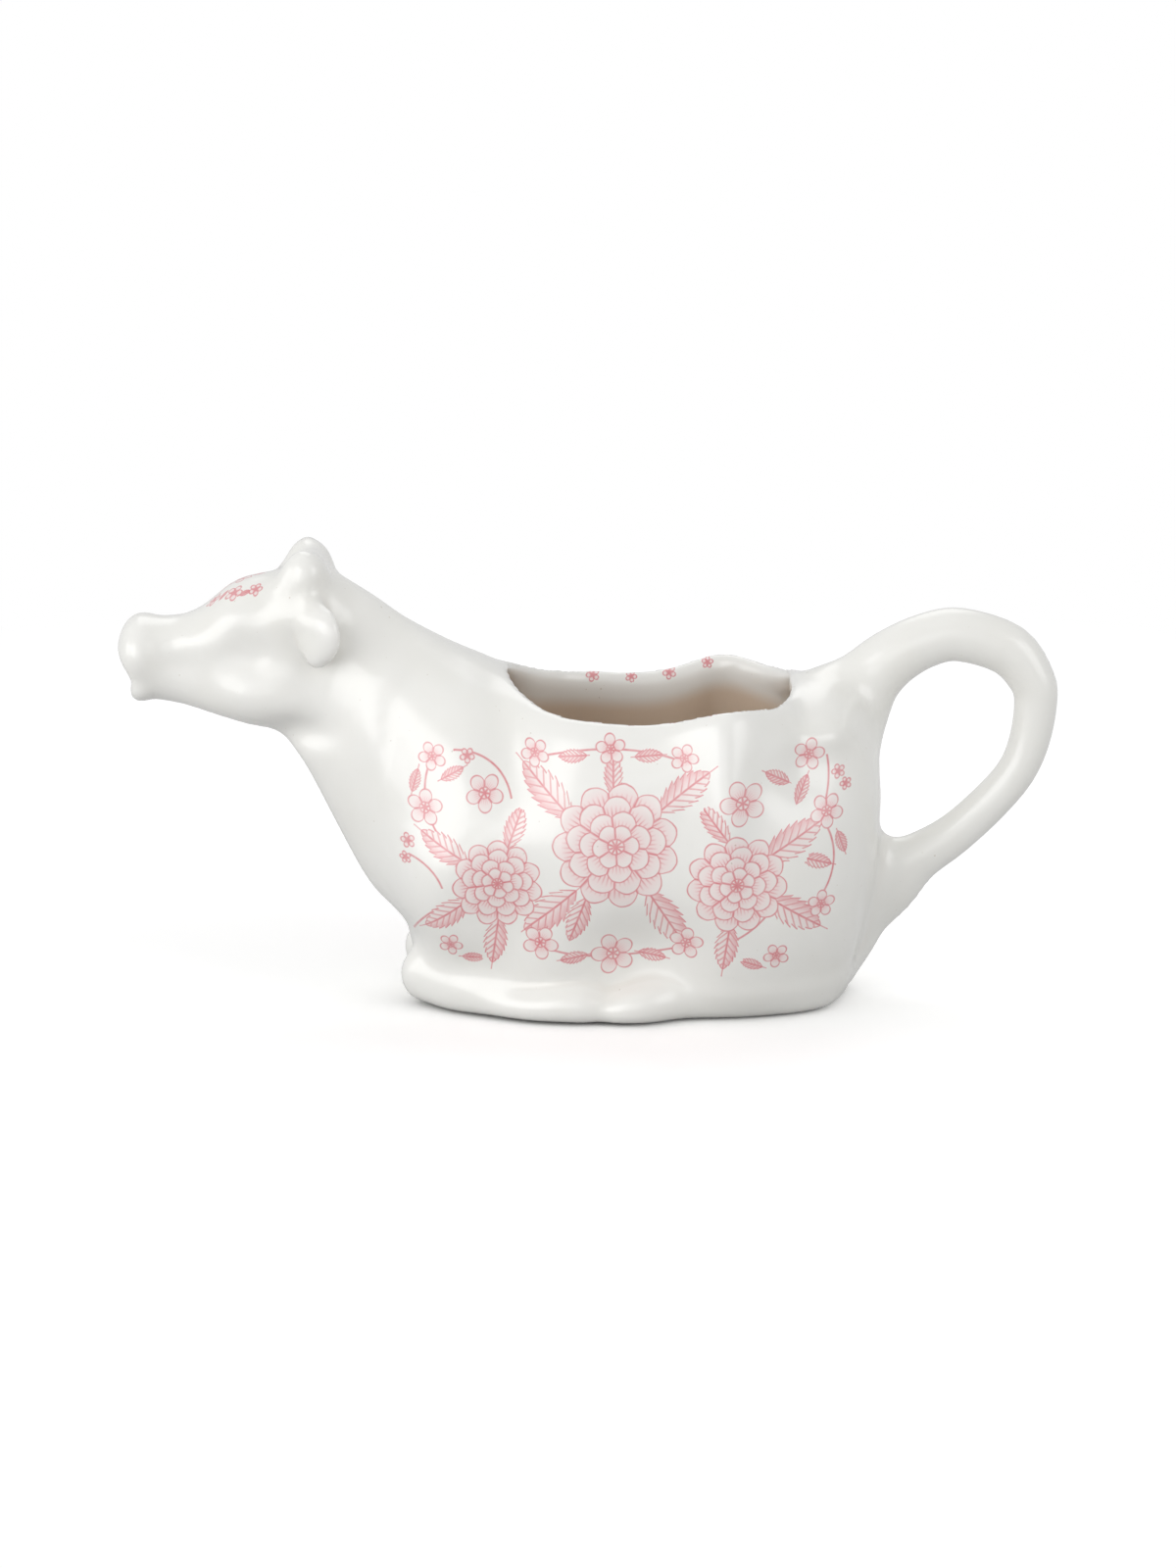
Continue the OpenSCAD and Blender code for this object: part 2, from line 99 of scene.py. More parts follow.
# Overall sizes, as in the CAD model
TRUNK_LENGTH = 97.6
TRUNK_WIDTH = 66
TRUNK_HEIGHT = 60.5
NECK_LENGTH = 17.2
HEAD_LENGTH = 40.6
HEAD_WIDTH = 25
HEAD_DEPTH = 33.5
JAW_HEIGHT = 54.5
HORN_HEIGHT = 5
EAR_LENGTH = 13.5
MOUTH_WIDTH = 9
MOUTH_HEIGHT = 5
HANDLE_REACH = 35.8
HANDLE_THICKNESS = 7.8
KNEE_HEIGHT = 12
HOOF_HEIGHT = 8
WALL = 3.4
FLOOR_HEIGHT = 5.8
BASE_HEIGHT = 2.4
# Rim: how far inside the outer surface its highest line lies, and how far down its rounding reaches
LIP_EDGE = 1
LIP_DEPTH = 5
# How much less square the neck's back is, and how much squarer the jaw is, with how far before the
# poll that is strongest and how gradually it fades
NECK_SHARPNESS = 0.3
JAW_FULLNESS = 1.5
JAW_PLACE = 14
JAW_SPREAD = 12
# How far small waves along the form are smoothed, how far before the rump that ends, and how gradually
EASE = 2.2
EASE_END = 14
EASE_FADE = 8
# How far the whole form is smoothed, and how far from the surface the distances to the trunk and to a
# limb are worked out. Within the last share of a limb's radius they stay as they are at its middle
BLUR = 1.7
BAND = 12
FAR = 9
CORE = 0.05

NOSE_X = -(HEAD_LENGTH + NECK_LENGTH + TRUNK_LENGTH + HANDLE_REACH) / 2
POLL_X = NOSE_X + HEAD_LENGTH
CHEST_X = POLL_X + NECK_LENGTH
RUMP_X = CHEST_X + TRUNK_LENGTH
POLL_HEIGHT = JAW_HEIGHT + HEAD_DEPTH
FLANK = TRUNK_WIDTH / 2
CHEEK = HEAD_WIDTH / 2

# Grid that the clay is worked on, half of the form only
CELL = 0.8
GRID_LOW = np.array([-98.4, 0.0, -8.4])
GRID_HIGH = np.array([98.4, 38.4, 96.0])
# What the grid holds beyond its own box
BEYOND = 10.0
# How often points are moved onto the surface or to the middle of the wall, with the least square of a
# slope that counts, and how many rings the hidden face has where a part is luted on
SURFACE_MOVES = 3
WALL_MOVES = 12
LEAST_SLOPE = 0.3
LUTE_RINGS = 5
# Cuts: a value nearer to zero than the first counts as above it, and no edge is cut nearer to its end
# than the second, as a share
CUT_LEAST = 1e-4
CUT_SHARE = 0.05
# How strongly the glaze pools where the surface bends: darker in creases, partly as painted shade, and
# thinner on ridges
POOL_AND_SHADE_GAIN = 2
# Columns of a vertex after its place and normal: the share of painted shade inside the vessel, the glaze's
# pooling with painted shade in creases, and then how far it is past each lute
INSIDE_SHADE, POOL_AND_SHADE, LUTES = 6, 7, 8

# Head sections: place along the head, then top, underside, half width and widest line as shares
# of the head's depth and width, and squareness
HEAD_SHARES = [
    [0.1, 0.655, 0.23, 0.55, 0.47, 2.3],
    [0.129, 0.68, 0.2, 0.62, 0.46, 2.4],
    [0.2, 0.7, 0.19, 0.63, 0.46, 2.3],
    [0.295, 0.7, 0.175, 0.63, 0.46, 2.2],
    [0.4, 0.735, 0.145, 0.69, 0.46, 2.2],
    [0.483, 0.805, 0.115, 0.78, 0.47, 2.2],
    [0.578, 0.905, 0.085, 0.88, 0.49, 2.2],
    [0.661, 0.945, 0.05, 0.95, 0.5, 2.2],
    [0.751, 0.965, 0.012, 0.985, 0.5, 2.2],
    [0.815, 0.98, -0.025, 1, 0.5, 2.2],
    [0.873, 0.992, -0.085, 1, 0.48, 2.2],
    [0.934, 1, -0.175, 0.984, 0.45, 2.2],
]
# Neck sections: place along the neck, top as a share of the drop from the poll to the rim, then
# underside, half width and widest line as shares of the trunk's sizes, and squareness
NECK_SHARES = [
    [0, 1, 0.715, 0.375, 1.06, 2.2],
    [0.27, 0.96, 0.555, 0.41, 1.01, 2.2],
    [0.46, 0.87, 0.45, 0.45, 0.95, 2.2],
    [0.62, 0.815, 0.36, 0.5, 0.9, 2.2],
    [0.75, 0.765, 0.33, 0.54, 0.84, 2.2],
]
# Trunk sections: place along the trunk, then crest of the back or rim, underside, half width and
# widest line as shares of the trunk's sizes, and squareness
TRUNK_SHARES = [
    [0, 1.289, 0.24, 0.62, 0.7, 2.2],
    [0.02, 1.27, 0.16, 0.665, 0.67, 2.2],
    [0.042, 1.25, 0.066, 0.71, 0.64, 2.25],
    [0.057, 1.237, 0, 0.74, 0.62, 2.3],
    [0.1, 1.197, -0.1, 0.83, 0.57, 2.35],
    [0.178, 1.143, -0.13, 0.92, 0.53, 2.4],
    [0.207, 1.12, -0.13, 0.945, 0.52, 2.4],
    [0.236, 1.083, -0.13, 0.96, 0.51, 2.4],
    [0.288, 1.034, -0.13, 0.98, 0.5, 2.4],
    [0.337, 1.007, -0.13, 1, 0.5, 2.4],
    [0.385, 0.997, -0.13, 1, 0.5, 2.4],
    [0.46, 0.988, -0.13, 1, 0.5, 2.5],
    [0.547, 0.992, -0.13, 1.01, 0.5, 2.5],
    [0.6, 1.01, -0.13, 1.02, 0.5, 2.5],
    [0.635, 1.025, -0.13, 1.035, 0.5, 2.5],
    [0.68, 1.038, -0.13, 1.03, 0.5, 2.5],
    [0.725, 1.038, -0.13, 1, 0.5, 2.5],
    [0.774, 1.032, -0.13, 0.955, 0.5, 2.4],
    [0.819, 1.07, -0.13, 0.89, 0.5, 2.4],
    [0.85, 1.095, -0.11, 0.835, 0.5, 2.4],
    [0.898, 1.1, -0.05, 0.75, 0.51, 2.3],
    [0.923, 1.085, 0.025, 0.67, 0.52, 2.2],
    [0.949, 1.05, 0.15, 0.57, 0.54, 2.1],
    [0.969, 1.008, 0.25, 0.455, 0.58, 2],
    [0.985, 0.942, 0.347, 0.33, 0.62, 2],
    [0.995, 0.86, 0.463, 0.19, 0.65, 2],
    [1, 0.73, 0.595, 0.05, 0.66, 2],
]
# Opening: place along the trunk and the square of its half width's share of the flank
OPENING_SHARES = [
    [0.207, 0], [0.236, 0.19], [0.288, 0.47], [0.337, 0.65], [0.385, 0.745], [0.46, 0.79],
    [0.547, 0.83], [0.6, 0.9], [0.635, 0.945], [0.68, 0.94], [0.725, 0.82], [0.774, 0.55],
    [0.789, 0.42], [0.805, 0.25], [0.819, 0],
]
# Folded legs: place along the trunk, place and half width across it as shares of the flank, then
# centre height and half depth as shares of the knee's or the hoof's height
FORELEG_SHARES = [
    [0.038, 0.33, 0.06, 0.45, 0.2], [0.049, 0.35, 0.15, 0.49, 0.47], [0.072, 0.39, 0.165, 0.5, 0.53],
    [0.12, 0.53, 0.15, 0.35, 0.43], [0.18, 0.635, 0.14, 0.26, 0.32], [0.27, 0.78, 0.14, 0.25, 0.31],
    [0.345, 0.835, 0.14, 0.3, 0.36], [0.385, 0.845, 0.13, 0.28, 0.34], [0.409, 0.84, 0.07, 0.2, 0.22],
]
HINDLEG_SHARES = [
    [0.424, 0.865, 0.06, 0.24, 0.25], [0.447, 0.865, 0.12, 0.34, 0.42],
    [0.498, 0.85, 0.145, 0.47, 0.57], [0.55, 0.775, 0.145, 0.52, 0.63],
    [0.59, 0.71, 0.145, 0.45, 0.55], [0.652, 0.655, 0.15, 0.37, 0.45],
    [0.733, 0.6, 0.15, 0.34, 0.41], [0.806, 0.54, 0.15, 0.34, 0.41],
    [0.847, 0.45, 0.15, 0.35, 0.43], [0.86, 0.4, 0.08, 0.34, 0.28],
]
# Handle: reach behind the rump, height as a share of the trunk's, then half width and half depth
# as shares of the thickness
HANDLE_SHARES = [
    [-0.391, 0.9, 0.55, 0.9], [-0.196, 0.985, 0.62, 1], [-0.061, 1.083, 0.65, 0.85],
    [0.075, 1.152, 0.64, 0.76], [0.251, 1.205, 0.63, 0.71], [0.436, 1.223, 0.62, 0.7],
    [0.71, 1.172, 0.61, 0.68], [0.85, 1.068, 0.59, 0.6], [0.872, 0.985, 0.58, 0.56],
    [0.84, 0.86, 0.56, 0.53], [0.765, 0.752, 0.55, 0.51], [0.615, 0.645, 0.54, 0.52],
    [0.412, 0.535, 0.54, 0.55], [0.207, 0.456, 0.58, 0.66], [0.028, 0.385, 0.62, 1],
    [-0.168, 0.3, 0.6, 1.15], [-0.28, 0.2, 0.5, 1.1], [-0.36, 0.12, 0.4, 0.9],
]
# Stops of a horn and an ear, in shares of their length from their root
HORN_ROOT = [POLL_X - 0.055 * HEAD_LENGTH, 0.6 * CHEEK, POLL_HEIGHT]
HORN_SHARES = [
    [0.1, -0.16, -1.4, 1.45, 1.25], [0.06, -0.02, -0.5, 1.15, 1], [0, 0.14, 0.1, 0.78, 0.7],
    [0, 0.22, 0.36, 0.56, 0.52], [0, 0.26, 0.52, 0.42, 0.4],
]
EAR_ROOT = [POLL_X - 0.04 * HEAD_LENGTH, 0.84 * CHEEK, POLL_HEIGHT - 0.19 * HEAD_DEPTH]
EAR_SHARES = [
    [-0.03, -0.1, 0, 0.14, 0.1], [0.08, 0.06, -0.02, 0.26, 0.16], [0.17, 0.22, -0.18, 0.36, 0.17],
    [0.21, 0.26, -0.4, 0.4, 0.16], [0.2, 0.26, -0.6, 0.34, 0.15], [0.16, 0.26, -0.76, 0.19, 0.11],
    [0.14, 0.25, -0.82, 0.05, 0.05],
]
# Muzzle, lower lip and the crest between the horns: centre, radii and squareness. The muzzle is cut
# off at a slant, given by its direction and a point on it
MUZZLE = (-90.6, 0, 70.6), (4.8, 9.3, 7.7), 2
MUZZLE_SLANT = (-0.809, -0.588), (-95.3, 69.6)
LOWER_LIP = (-90.5, 0, 63.7), (2.6, 7.6, 3), 2.2
CREST = (HORN_ROOT[0] + 1.4, 0, POLL_HEIGHT + 0.3), (2.6, 11.5, 3.2), 2
# Height of the mouth's middle, and where along the head it ends
MOUTH_MIDDLE = 65.7
MOUTH_END = -80
# How far below the rim the painted shade inside the vessel starts, and over what length it grows
INSIDE_SHADE_START = 3.2
INSIDE_SHADE_GROWTH = 3
# How far two forms run into each other where they meet
BLENDS = {"corner": 1, "floor": 4, "slant": 1.6, "muzzle": 2.4, "lip": 1.4, "crest": 3, "mouth": 1.6,
          "foot": 2.5, "horn": 4, "ear": 2, "foreleg": 2.4, "hindleg": 2.4, "tail": 6}
# Swellings and hollows: centre, reach along each axis, and rise, in millimetres
FLANK_RELIEF = [
    [(-31, 22, 29), (5, 14, 7.5), 3.4],
    [(-39, 12, 15.5), (6, 16, 3), -1.5],
    [(-24, 31, 11), (5, 12, 3), -2],
    [(-15.6, 30, 52), (4.6, 12, 7), -2.6],
    [(-15.4, 30, 20), (5.4, 14, 8), -3.4],
    [(0.3, 32, 34), (8, 14, 12), 1.5],
    [(27.4, 33, 44), (3.4, 14, 14), 2.8],
    [(11.5, 31, 15), (9, 14, 6), -4.6],
    [(41, 30, 30), (7, 12, 12), 1.3],
    [(49, 22, 57.5), (7, 5, 2), 1.6],
    [(47, 27, 50), (8, 6, 3.4), -1.8],
]
FACE_RELIEF = [
    [(-67.5, 11.5, 71.6), (4.8, 6, 3.6), -2.2],
    [(-73, 8, 80), (3, 4, 2.4), 0.6],
    [(-70, 11, 61.5), (7, 6, 3), 0.6],
    [(-77.5, 9, 75), (3.4, 4, 3), 0.9],
    [(-83.4, 9.5, 69.5), (3, 4, 2.4), -1],
    [(-59, 9.5, 56), (4.2, 5, 2.2), -3],
    [(-53, 12.5, 65), (6.5, 6, 9), -1.4],
    [(-42, 10, 75), (3.4, 5, 3.6), -0.9],
    [(-39.3, 14, 68.5), (2, 4, 2), 0.6],
    [(-39.6, 18, 55), (2, 6, 6), -0.7],
    [(-44.2, 16, 57), (2.6, 6, 6), 0.3],
]
# The fold between the horn's back and the ear, in the same terms
EAR_FOLD = [[(-52.6, 13.4, 83.6), (1.7, 5, 2.6), -1.5], [(-59.6, 15.2, 82.4), (2.2, 4, 2), -0.6]]

# Print, a spray of made-up flowers: the place of each motif along and up the flank or the rim, or
# along and across the brow, then its radius, all in millimetres, and its turn in degrees
ROSETTES = {"flank": [(5.5, 37.5, 12.5, 0), (-18, 29, 9, 40), (29.5, 30, 10, 75)]}
BLOSSOMS = {"flank": [
    (-31, 53.5, 2.8, 10), (-32.5, 43.5, 3.6, 50), (-20.5, 47, 3.8, 20), (-27.5, 15.5, 2.4, 30),
    (-10.5, 55, 2.8, 15), (4.5, 56.5, 3, 60), (19, 55, 2.8, 35), (30.5, 46.5, 4.6, 5),
    (44, 54, 3.2, 40), (47.5, 43, 3.4, 20), (46.5, 24.5, 2.8, 50), (-9.5, 17, 3.6, 25),
    (5, 14.5, 4.4, 0), (19.5, 17, 3.4, 45), (37.5, 14.5, 2.6, 10), (50, 50, 1.4, 0),
    (51.5, 47.5, 1.2, 0), (-36, 36.5, 1.5, 0), (-36.5, 33, 1.2, 0), (-24, 54, 1.5, 20),
], "lip": [
    (1, 60.7, 1.4, 0), (9, 60.2, 1.2, 30), (17, 60.9, 1.4, 10), (25, 62.6, 1.2, 50),
], "brow": [
    (-75.5, -3, 1.5, 0), (-75.5, 3, 1.5, 30), (-71.2, -5.6, 1.8, 10), (-71.2, 5.6, 1.8, 50),
    (-66.8, -6.4, 1.4, 20), (-66.8, 6.4, 1.4, 40), (-70, 0, 2.3, 5),
]}
LEAVES = {"flank": [
    (-8, 48, 7, 134), (19, 48.5, 6.5, 40), (-7.5, 24, 7, 222), (15.5, 22.5, 7, -58),
    (40.5, 38, 7, 30), (41, 23.5, 6.5, -34), (-28.5, 36, 5.6, 148), (-28, 22.5, 5.6, 216),
    (25, 42.5, 4.6, 128), (-14.5, 40.5, 4.4, 70), (27.5, 16.8, 5, -98), (-18.5, 16.8, 5, 262),
    (5, 51.5, 4, 90), (-2, 22.5, 5, 250), (-34.5, 48.5, 2.4, 75), (-27, 50.5, 2.6, 30),
    (-3, 55, 2.8, 185), (12, 55.3, 2.8, 5), (42.5, 47.5, 2.8, 65), (50.5, 36.5, 2.4, -70),
    (-2.8, 14, 2.8, 192), (12.8, 14, 2.8, -12), (45.5, 33.5, 3.2, -20), (32.5, 13, 2.4, 160),
    (-23, 12.8, 2.2, 0), (37.5, 50.5, 2.8, 150),
], "brow": [
    (-73.4, -4.4, 1.1, 40), (-73.4, 4.4, 1.1, -40), (-69, -6.6, 1.1, 10), (-69, 6.6, 1.1, -10),
    (-73.5, 0, 1.3, 0), (-66.6, 0, 1.3, 180),
]}
# Stems are arcs: centre, radius, and the angles where they start and end
STEMS = {"flank": [
    (-18, 47, 14.5, 150, 232), (-22, 12, 14, 95, 160), (30, 50, 18, -62, 12), (36, 34, 13, -60, 42),
    (5, 61, 47, -111, -69), (4.5, 9, 47.5, 72, 108), (20, 36, 20, -66, -35), (-26, 44, 11, 10, 95),
    (-37.5, 25, 9, 20, 80),
]}
# Width of a drawn line, and how far past its radius a motif may reach
LINE = 0.2
MOTIF_REACH = 1.3
# Rings of petals from the outside in: count, reach, turn, how deep the edge is scalloped, and where
# the ring starts, in shares of the motif's radius
BLOSSOM_RINGS = [(5, 1, 0, 0.42, 0.25), (6, 0.3, 0.5, 0.1, 0)]
ROSETTE_RINGS = [
    (11, 1, 0, 0.16, 0.72), (9, 0.8, 0.3, 0.18, 0.52), (7, 0.58, 0.1, 0.2, 0.32),
    (6, 0.37, 0.45, 0.2, 0.1), (9, 0.13, 0, 0, 0),
]
# Where print may be: from how far before the chest, from which height inside the rim, and how much a
# face must look sideways on the flank and up on the forehead
PRINT_START = 3
RIM_PRINT = 57
FLANK_LOOK = 0.3
BROW_LOOK = 0.25
# What a face without a motif holds: a place beyond every motif and a line's width
NO_MOTIF = [9, 9, 0.1]
# Faces below this height are the wiped foot
FOOT_TOP = 0.05
# Fine lines at a petal's foot, then the teeth and the veins along a leaf, per radius
HATCHES = 6
TEETH = 4
VEINS = 3.5


def rows():
    """The sections in millimetres: x, crest, underside, half width, widest line, squareness."""
    drop = POLL_HEIGHT - TRUNK_HEIGHT
    parts = [
        (HEAD_SHARES, NOSE_X, HEAD_LENGTH, JAW_HEIGHT, HEAD_DEPTH, JAW_HEIGHT, HEAD_DEPTH, CHEEK),
        (NECK_SHARES, POLL_X, NECK_LENGTH, TRUNK_HEIGHT, drop, 0, TRUNK_HEIGHT, FLANK),
        (TRUNK_SHARES, CHEST_X, TRUNK_LENGTH, 0, TRUNK_HEIGHT, 0, TRUNK_HEIGHT, FLANK),
    ]
    return np.array([[x + a * length, top + b * rise, low + c * depth, d * half, low + e * depth, n]
                     for shares, x, length, top, rise, low, depth, half in parts
                     for a, b, c, d, e, n in shares])


def through(table, x):
    """Smooth curves through a table whose first column is x."""
    at, values = table[:, 0], table[:, 1:]
    step = np.diff(at)[:, None]
    secant = np.diff(values, axis=0) / step
    inner = (secant[:-1] * step[1:] + secant[1:] * step[:-1]) / (step[:-1] + step[1:])
    slope = np.vstack([secant[:1], inner, secant[-1:]])
    i = np.clip(np.searchsorted(at, x, side="right") - 1, 0, len(at) - 2)
    s = np.clip((x - at[i]) / step[i, 0], 0, 1)[:, None]
    q, c = s * s, s * s * s
    return ((2 * c - 3 * q + 1) * values[i] + (3 * q - 2 * c) * values[i + 1]
            + step[i] * ((c - 2 * q + s) * slope[i] + (c - q) * slope[i + 1]))


def eased(values):
    """Rows along x with their small waves smoothed away, except near the nose and the rump."""
    steps = np.arange(-int(4 * EASE / CELL), int(4 * EASE / CELL) + 1) * CELL
    weights = np.exp(-(steps / EASE) ** 2 / 2)
    weights = weights / weights.sum()
    padded = np.pad(values, ((len(steps) // 2,) * 2, (0, 0)), mode="edge")
    smooth = np.stack([np.convolve(padded[:, k], weights, "valid") for k in range(values.shape[1])], axis=1)
    x = axes[0][:, None]
    keep = np.clip((x - (RUMP_X - EASE_END)) / EASE_FADE, 0, 1) + np.clip((POLL_X - x) / EASE_FADE, 0, 1)
    return smooth + (values - smooth) * keep


def soft_min(a, b, reach):
    """The lesser of two distances, rounded where they are alike within a reach."""
    h = np.maximum(reach - np.abs(a - b), 0) / reach
    return np.minimum(a, b) - h * h * reach / 4


def soft_max(a, b, reach):
    return -soft_min(-a, -b, reach)


def to_distance(level, least=1e-3):
    """A level function turned into a distance, to first order."""
    gx, gy, gz = np.gradient(level, CELL)
    return level / np.maximum(np.sqrt(gx * gx + gy * gy + gz * gz), least)


axes = [np.arange(lo, hi + CELL / 2, CELL) for lo, hi in zip(GRID_LOW, GRID_HIGH)]
GX = axes[0][:, None, None].astype(np.float32)
GY = axes[1][None, :, None].astype(np.float32)
GZ = axes[2][None, None, :].astype(np.float32)


def bumps(table):
    """The height of all swellings and hollows of a table together."""
    total = 0
    for (cx, cy, cz), (rx, ry, rz), rise in table:
        total = total + rise * (np.exp(-((GX - cx) / rx) ** 2 / 2) * np.exp(-((GY - cy) / ry) ** 2 / 2)
                                * np.exp(-((GZ - cz) / rz) ** 2 / 2))
    return total


def blurred(field, reach):
    """A field smoothed by a bell curve, and mirrored at the middle plane."""
    count = int(3 * reach / CELL)
    weights = np.exp(-(np.arange(-count, count + 1) * CELL / reach) ** 2 / 2)
    weights = (weights / weights.sum()).astype(np.float32)
    for axis in range(3):
        size = field.shape[axis]
        wide = np.pad(field, [(count, count) if k == axis else (0, 0) for k in range(3)], mode="reflect")
        wide = np.moveaxis(wide, axis, 0)
        field = np.moveaxis(sum(w * wide[k:k + size] for k, w in enumerate(weights)), 0, axis)
    return field


def whole(half):
    """A field over both halves of the form."""
    return np.concatenate([half[:, :0:-1], half], axis=1).astype(np.float32)


def surface(field):
    """The zero surface of a whole field, as points in cells and faces of four."""
    grid = openvdb.FloatGrid(background=BEYOND)
    grid.copyFromArray(field)
    points, _, quads = grid.convertToPolygons(isovalue=0.0)
    return points, quads


def true_distance(half):
    """The real distance to a field's zero surface, no further than the band."""
    field = whole(half)
    points, quads = surface(field)
    level = openvdb.FloatGrid.createLevelSetFromPolygons(points, quads=quads, halfWidth=BAND / CELL)
    level.copyToArray(field)
    return field[:, len(axes[1]) - 1:] * CELL


def loft():
    """Distance to the closed outer form of the head, neck and trunk, and how far each point lies past the
    rim's line.
    """
    table = rows()
    crest, low, half, mid, power = eased(through(table, axes[0])).T
    place = (axes[0] - CHEST_X) / TRUNK_LENGTH
    share = np.array(OPENING_SHARES)
    ends = (share[1] - share[0], share[-1] - share[-2])
    square = np.interp(place, share[:, 0], share[:, 1])
    square = np.where(place < share[0, 0], (place - share[0, 0]) * ends[0][1] / ends[0][0], square)
    square = np.where(place > share[-1, 0], (place - share[-1, 0]) * ends[1][1] / ends[1][0], square)
    square = square * FLANK ** 2
    open_half = np.sqrt(np.maximum(square, 0))
    side = np.clip(open_half / half, 0, 0.999)
    # the neck has a narrower back than belly
    upper = power - NECK_SHARPNESS * np.exp(-((axes[0] - CHEST_X) / NECK_LENGTH) ** 2 / 2)
    top = mid + (crest - mid) / (1 - side ** upper) ** (1 / upper)

    def col(v):
        return v[:, None, None].astype(np.float32)

    rise = np.where(GZ > col(mid), col(top - mid), col(mid - low))
    y, z = np.abs(GY), GZ - col(mid)
    lower = power + JAW_FULLNESS * np.exp(-((axes[0] - POLL_X + JAW_PLACE) / JAW_SPREAD) ** 2 / 2)
    n = np.where(GZ > col(mid), col(upper), col(lower))
    level = ((y / col(half)) ** n + (np.abs(z) / rise) ** n + 1e-9) ** (1 / n)
    radius = np.hypot(y, z)
    solid = np.maximum(radius - radius / level, np.maximum(table[0, 0] - GX, GX - RUMP_X))
    solid = blurred(true_distance(solid), BLUR) - bumps(FLANK_RELIEF)
    # the rim: unit normal of the section there, then how far a point lies past the rim's line
    across = side ** (upper - 1) / half
    upward = ((crest - mid) / (top - mid)) ** (upper - 1) / (top - mid)
    size = np.hypot(across, upward)
    across, upward = across / size, upward / size
    square = square - WALL * across * open_half + (WALL * across / 2) ** 2
    slope = np.gradient(square, CELL)
    plan = (col(square) - GY ** 2) / np.sqrt(col(slope) ** 2 + 4 * GY ** 2 + 1)
    past = col(upward) * plan + col(across) * (GZ - col(crest - WALL / 2 * upward))
    past = np.where(GZ > col(mid), past, -3 * WALL)
    return solid, past


def path_through(stops, steps):
    """A smooth path through stops, each a place and two half sizes."""
    stops = np.array(stops, float)
    out = []
    for k in range(steps * (len(stops) - 1) + 1):
        i = min(k // steps, len(stops) - 2)
        f = k / steps - i
        a, b, c, d = stops[max(i - 1, 0)], stops[i], stops[i + 1], stops[min(i + 2, len(stops) - 1)]
        out.append(b + f * (c - a) / 2 + f * f * (a - 2.5 * b + 2 * c - d / 2)
                   + f ** 3 * (1.5 * (b - c) + (d - a) / 2))
    return np.array(out)


def limb(stops, side, steps=3):
    """Distance to a tube with oval sections along a path, where it is near, and FAR elsewhere."""
    path = path_through(stops, steps)
    side = np.array(side, float)
    out = np.full((len(axes[0]), len(axes[1]), len(axes[2])), FAR, np.float32)
    for a, b in zip(path[:-1], path[1:]):
        reach = FAR + max(a[3:].max(), b[3:].max())
        low = np.minimum(a[:3], b[:3]) - reach
        high = np.maximum(a[:3], b[:3]) + reach
        box = tuple(slice(int(np.searchsorted(ax, l)), int(np.searchsorted(ax, h)))
                    for ax, l, h in zip(axes, low, high))
        x, y, z = GX[box[0]], GY[:, box[1]], GZ[:, :, box[2]]
        step = b[:3] - a[:3]
        length = np.linalg.norm(step)
        t = step / length
        u = side - t * (side @ t)
        u = u / np.linalg.norm(u)
        v = np.cross(t, u)
        rx, ry, rz = x - a[0], y - a[1], z - a[2]
        along = rx * t[0] + ry * t[1] + rz * t[2]
        f = np.clip(along / length, 0, 1)
        rest = along - f * length
        du = rx * u[0] + ry * u[1] + rz * u[2]
        dv = rx * v[0] + ry * v[1] + rz * v[2]
        ru, rv = a[3] + f * (b[3] - a[3]), a[4] + f * (b[4] - a[4])
        least = np.minimum(ru, rv)
        far = np.sqrt(du * du + dv * dv + rest * rest)
        round_ = np.sqrt((du / ru) ** 2 + (dv / rv) ** 2 + (rest / least) ** 2)
        d = np.where(round_ > CORE, far * (1 - 1 / np.maximum(round_, CORE)), -least)
        out[box] = np.minimum(out[box], d)
    return out


def ball(centre, radii, power):
    """Distance, to first order, to a ball with three radii."""
    x, y, z = (np.abs(g - c) / r for g, c, r in zip((GX, GY, GZ), centre, radii))
    round_ = (x ** power + y ** power + z ** power + 1e-9) ** (1 / power)
    return to_distance(round_ - 1)


def leg_stops(shares, height):
    """The stops of a leg in millimetres: place, then half width and half depth."""
    return [[CHEST_X + s[0] * TRUNK_LENGTH, s[1] * FLANK, s[3] * height, s[2] * FLANK, s[4] * height]
            for s in shares]


def root_stops(root, shares, size):
    """The same for a horn or an ear."""
    return [[root[0] + s[0] * size, root[1] + s[1] * size, root[2] + s[2] * size, s[3] * size, s[4] * size]
            for s in shares]


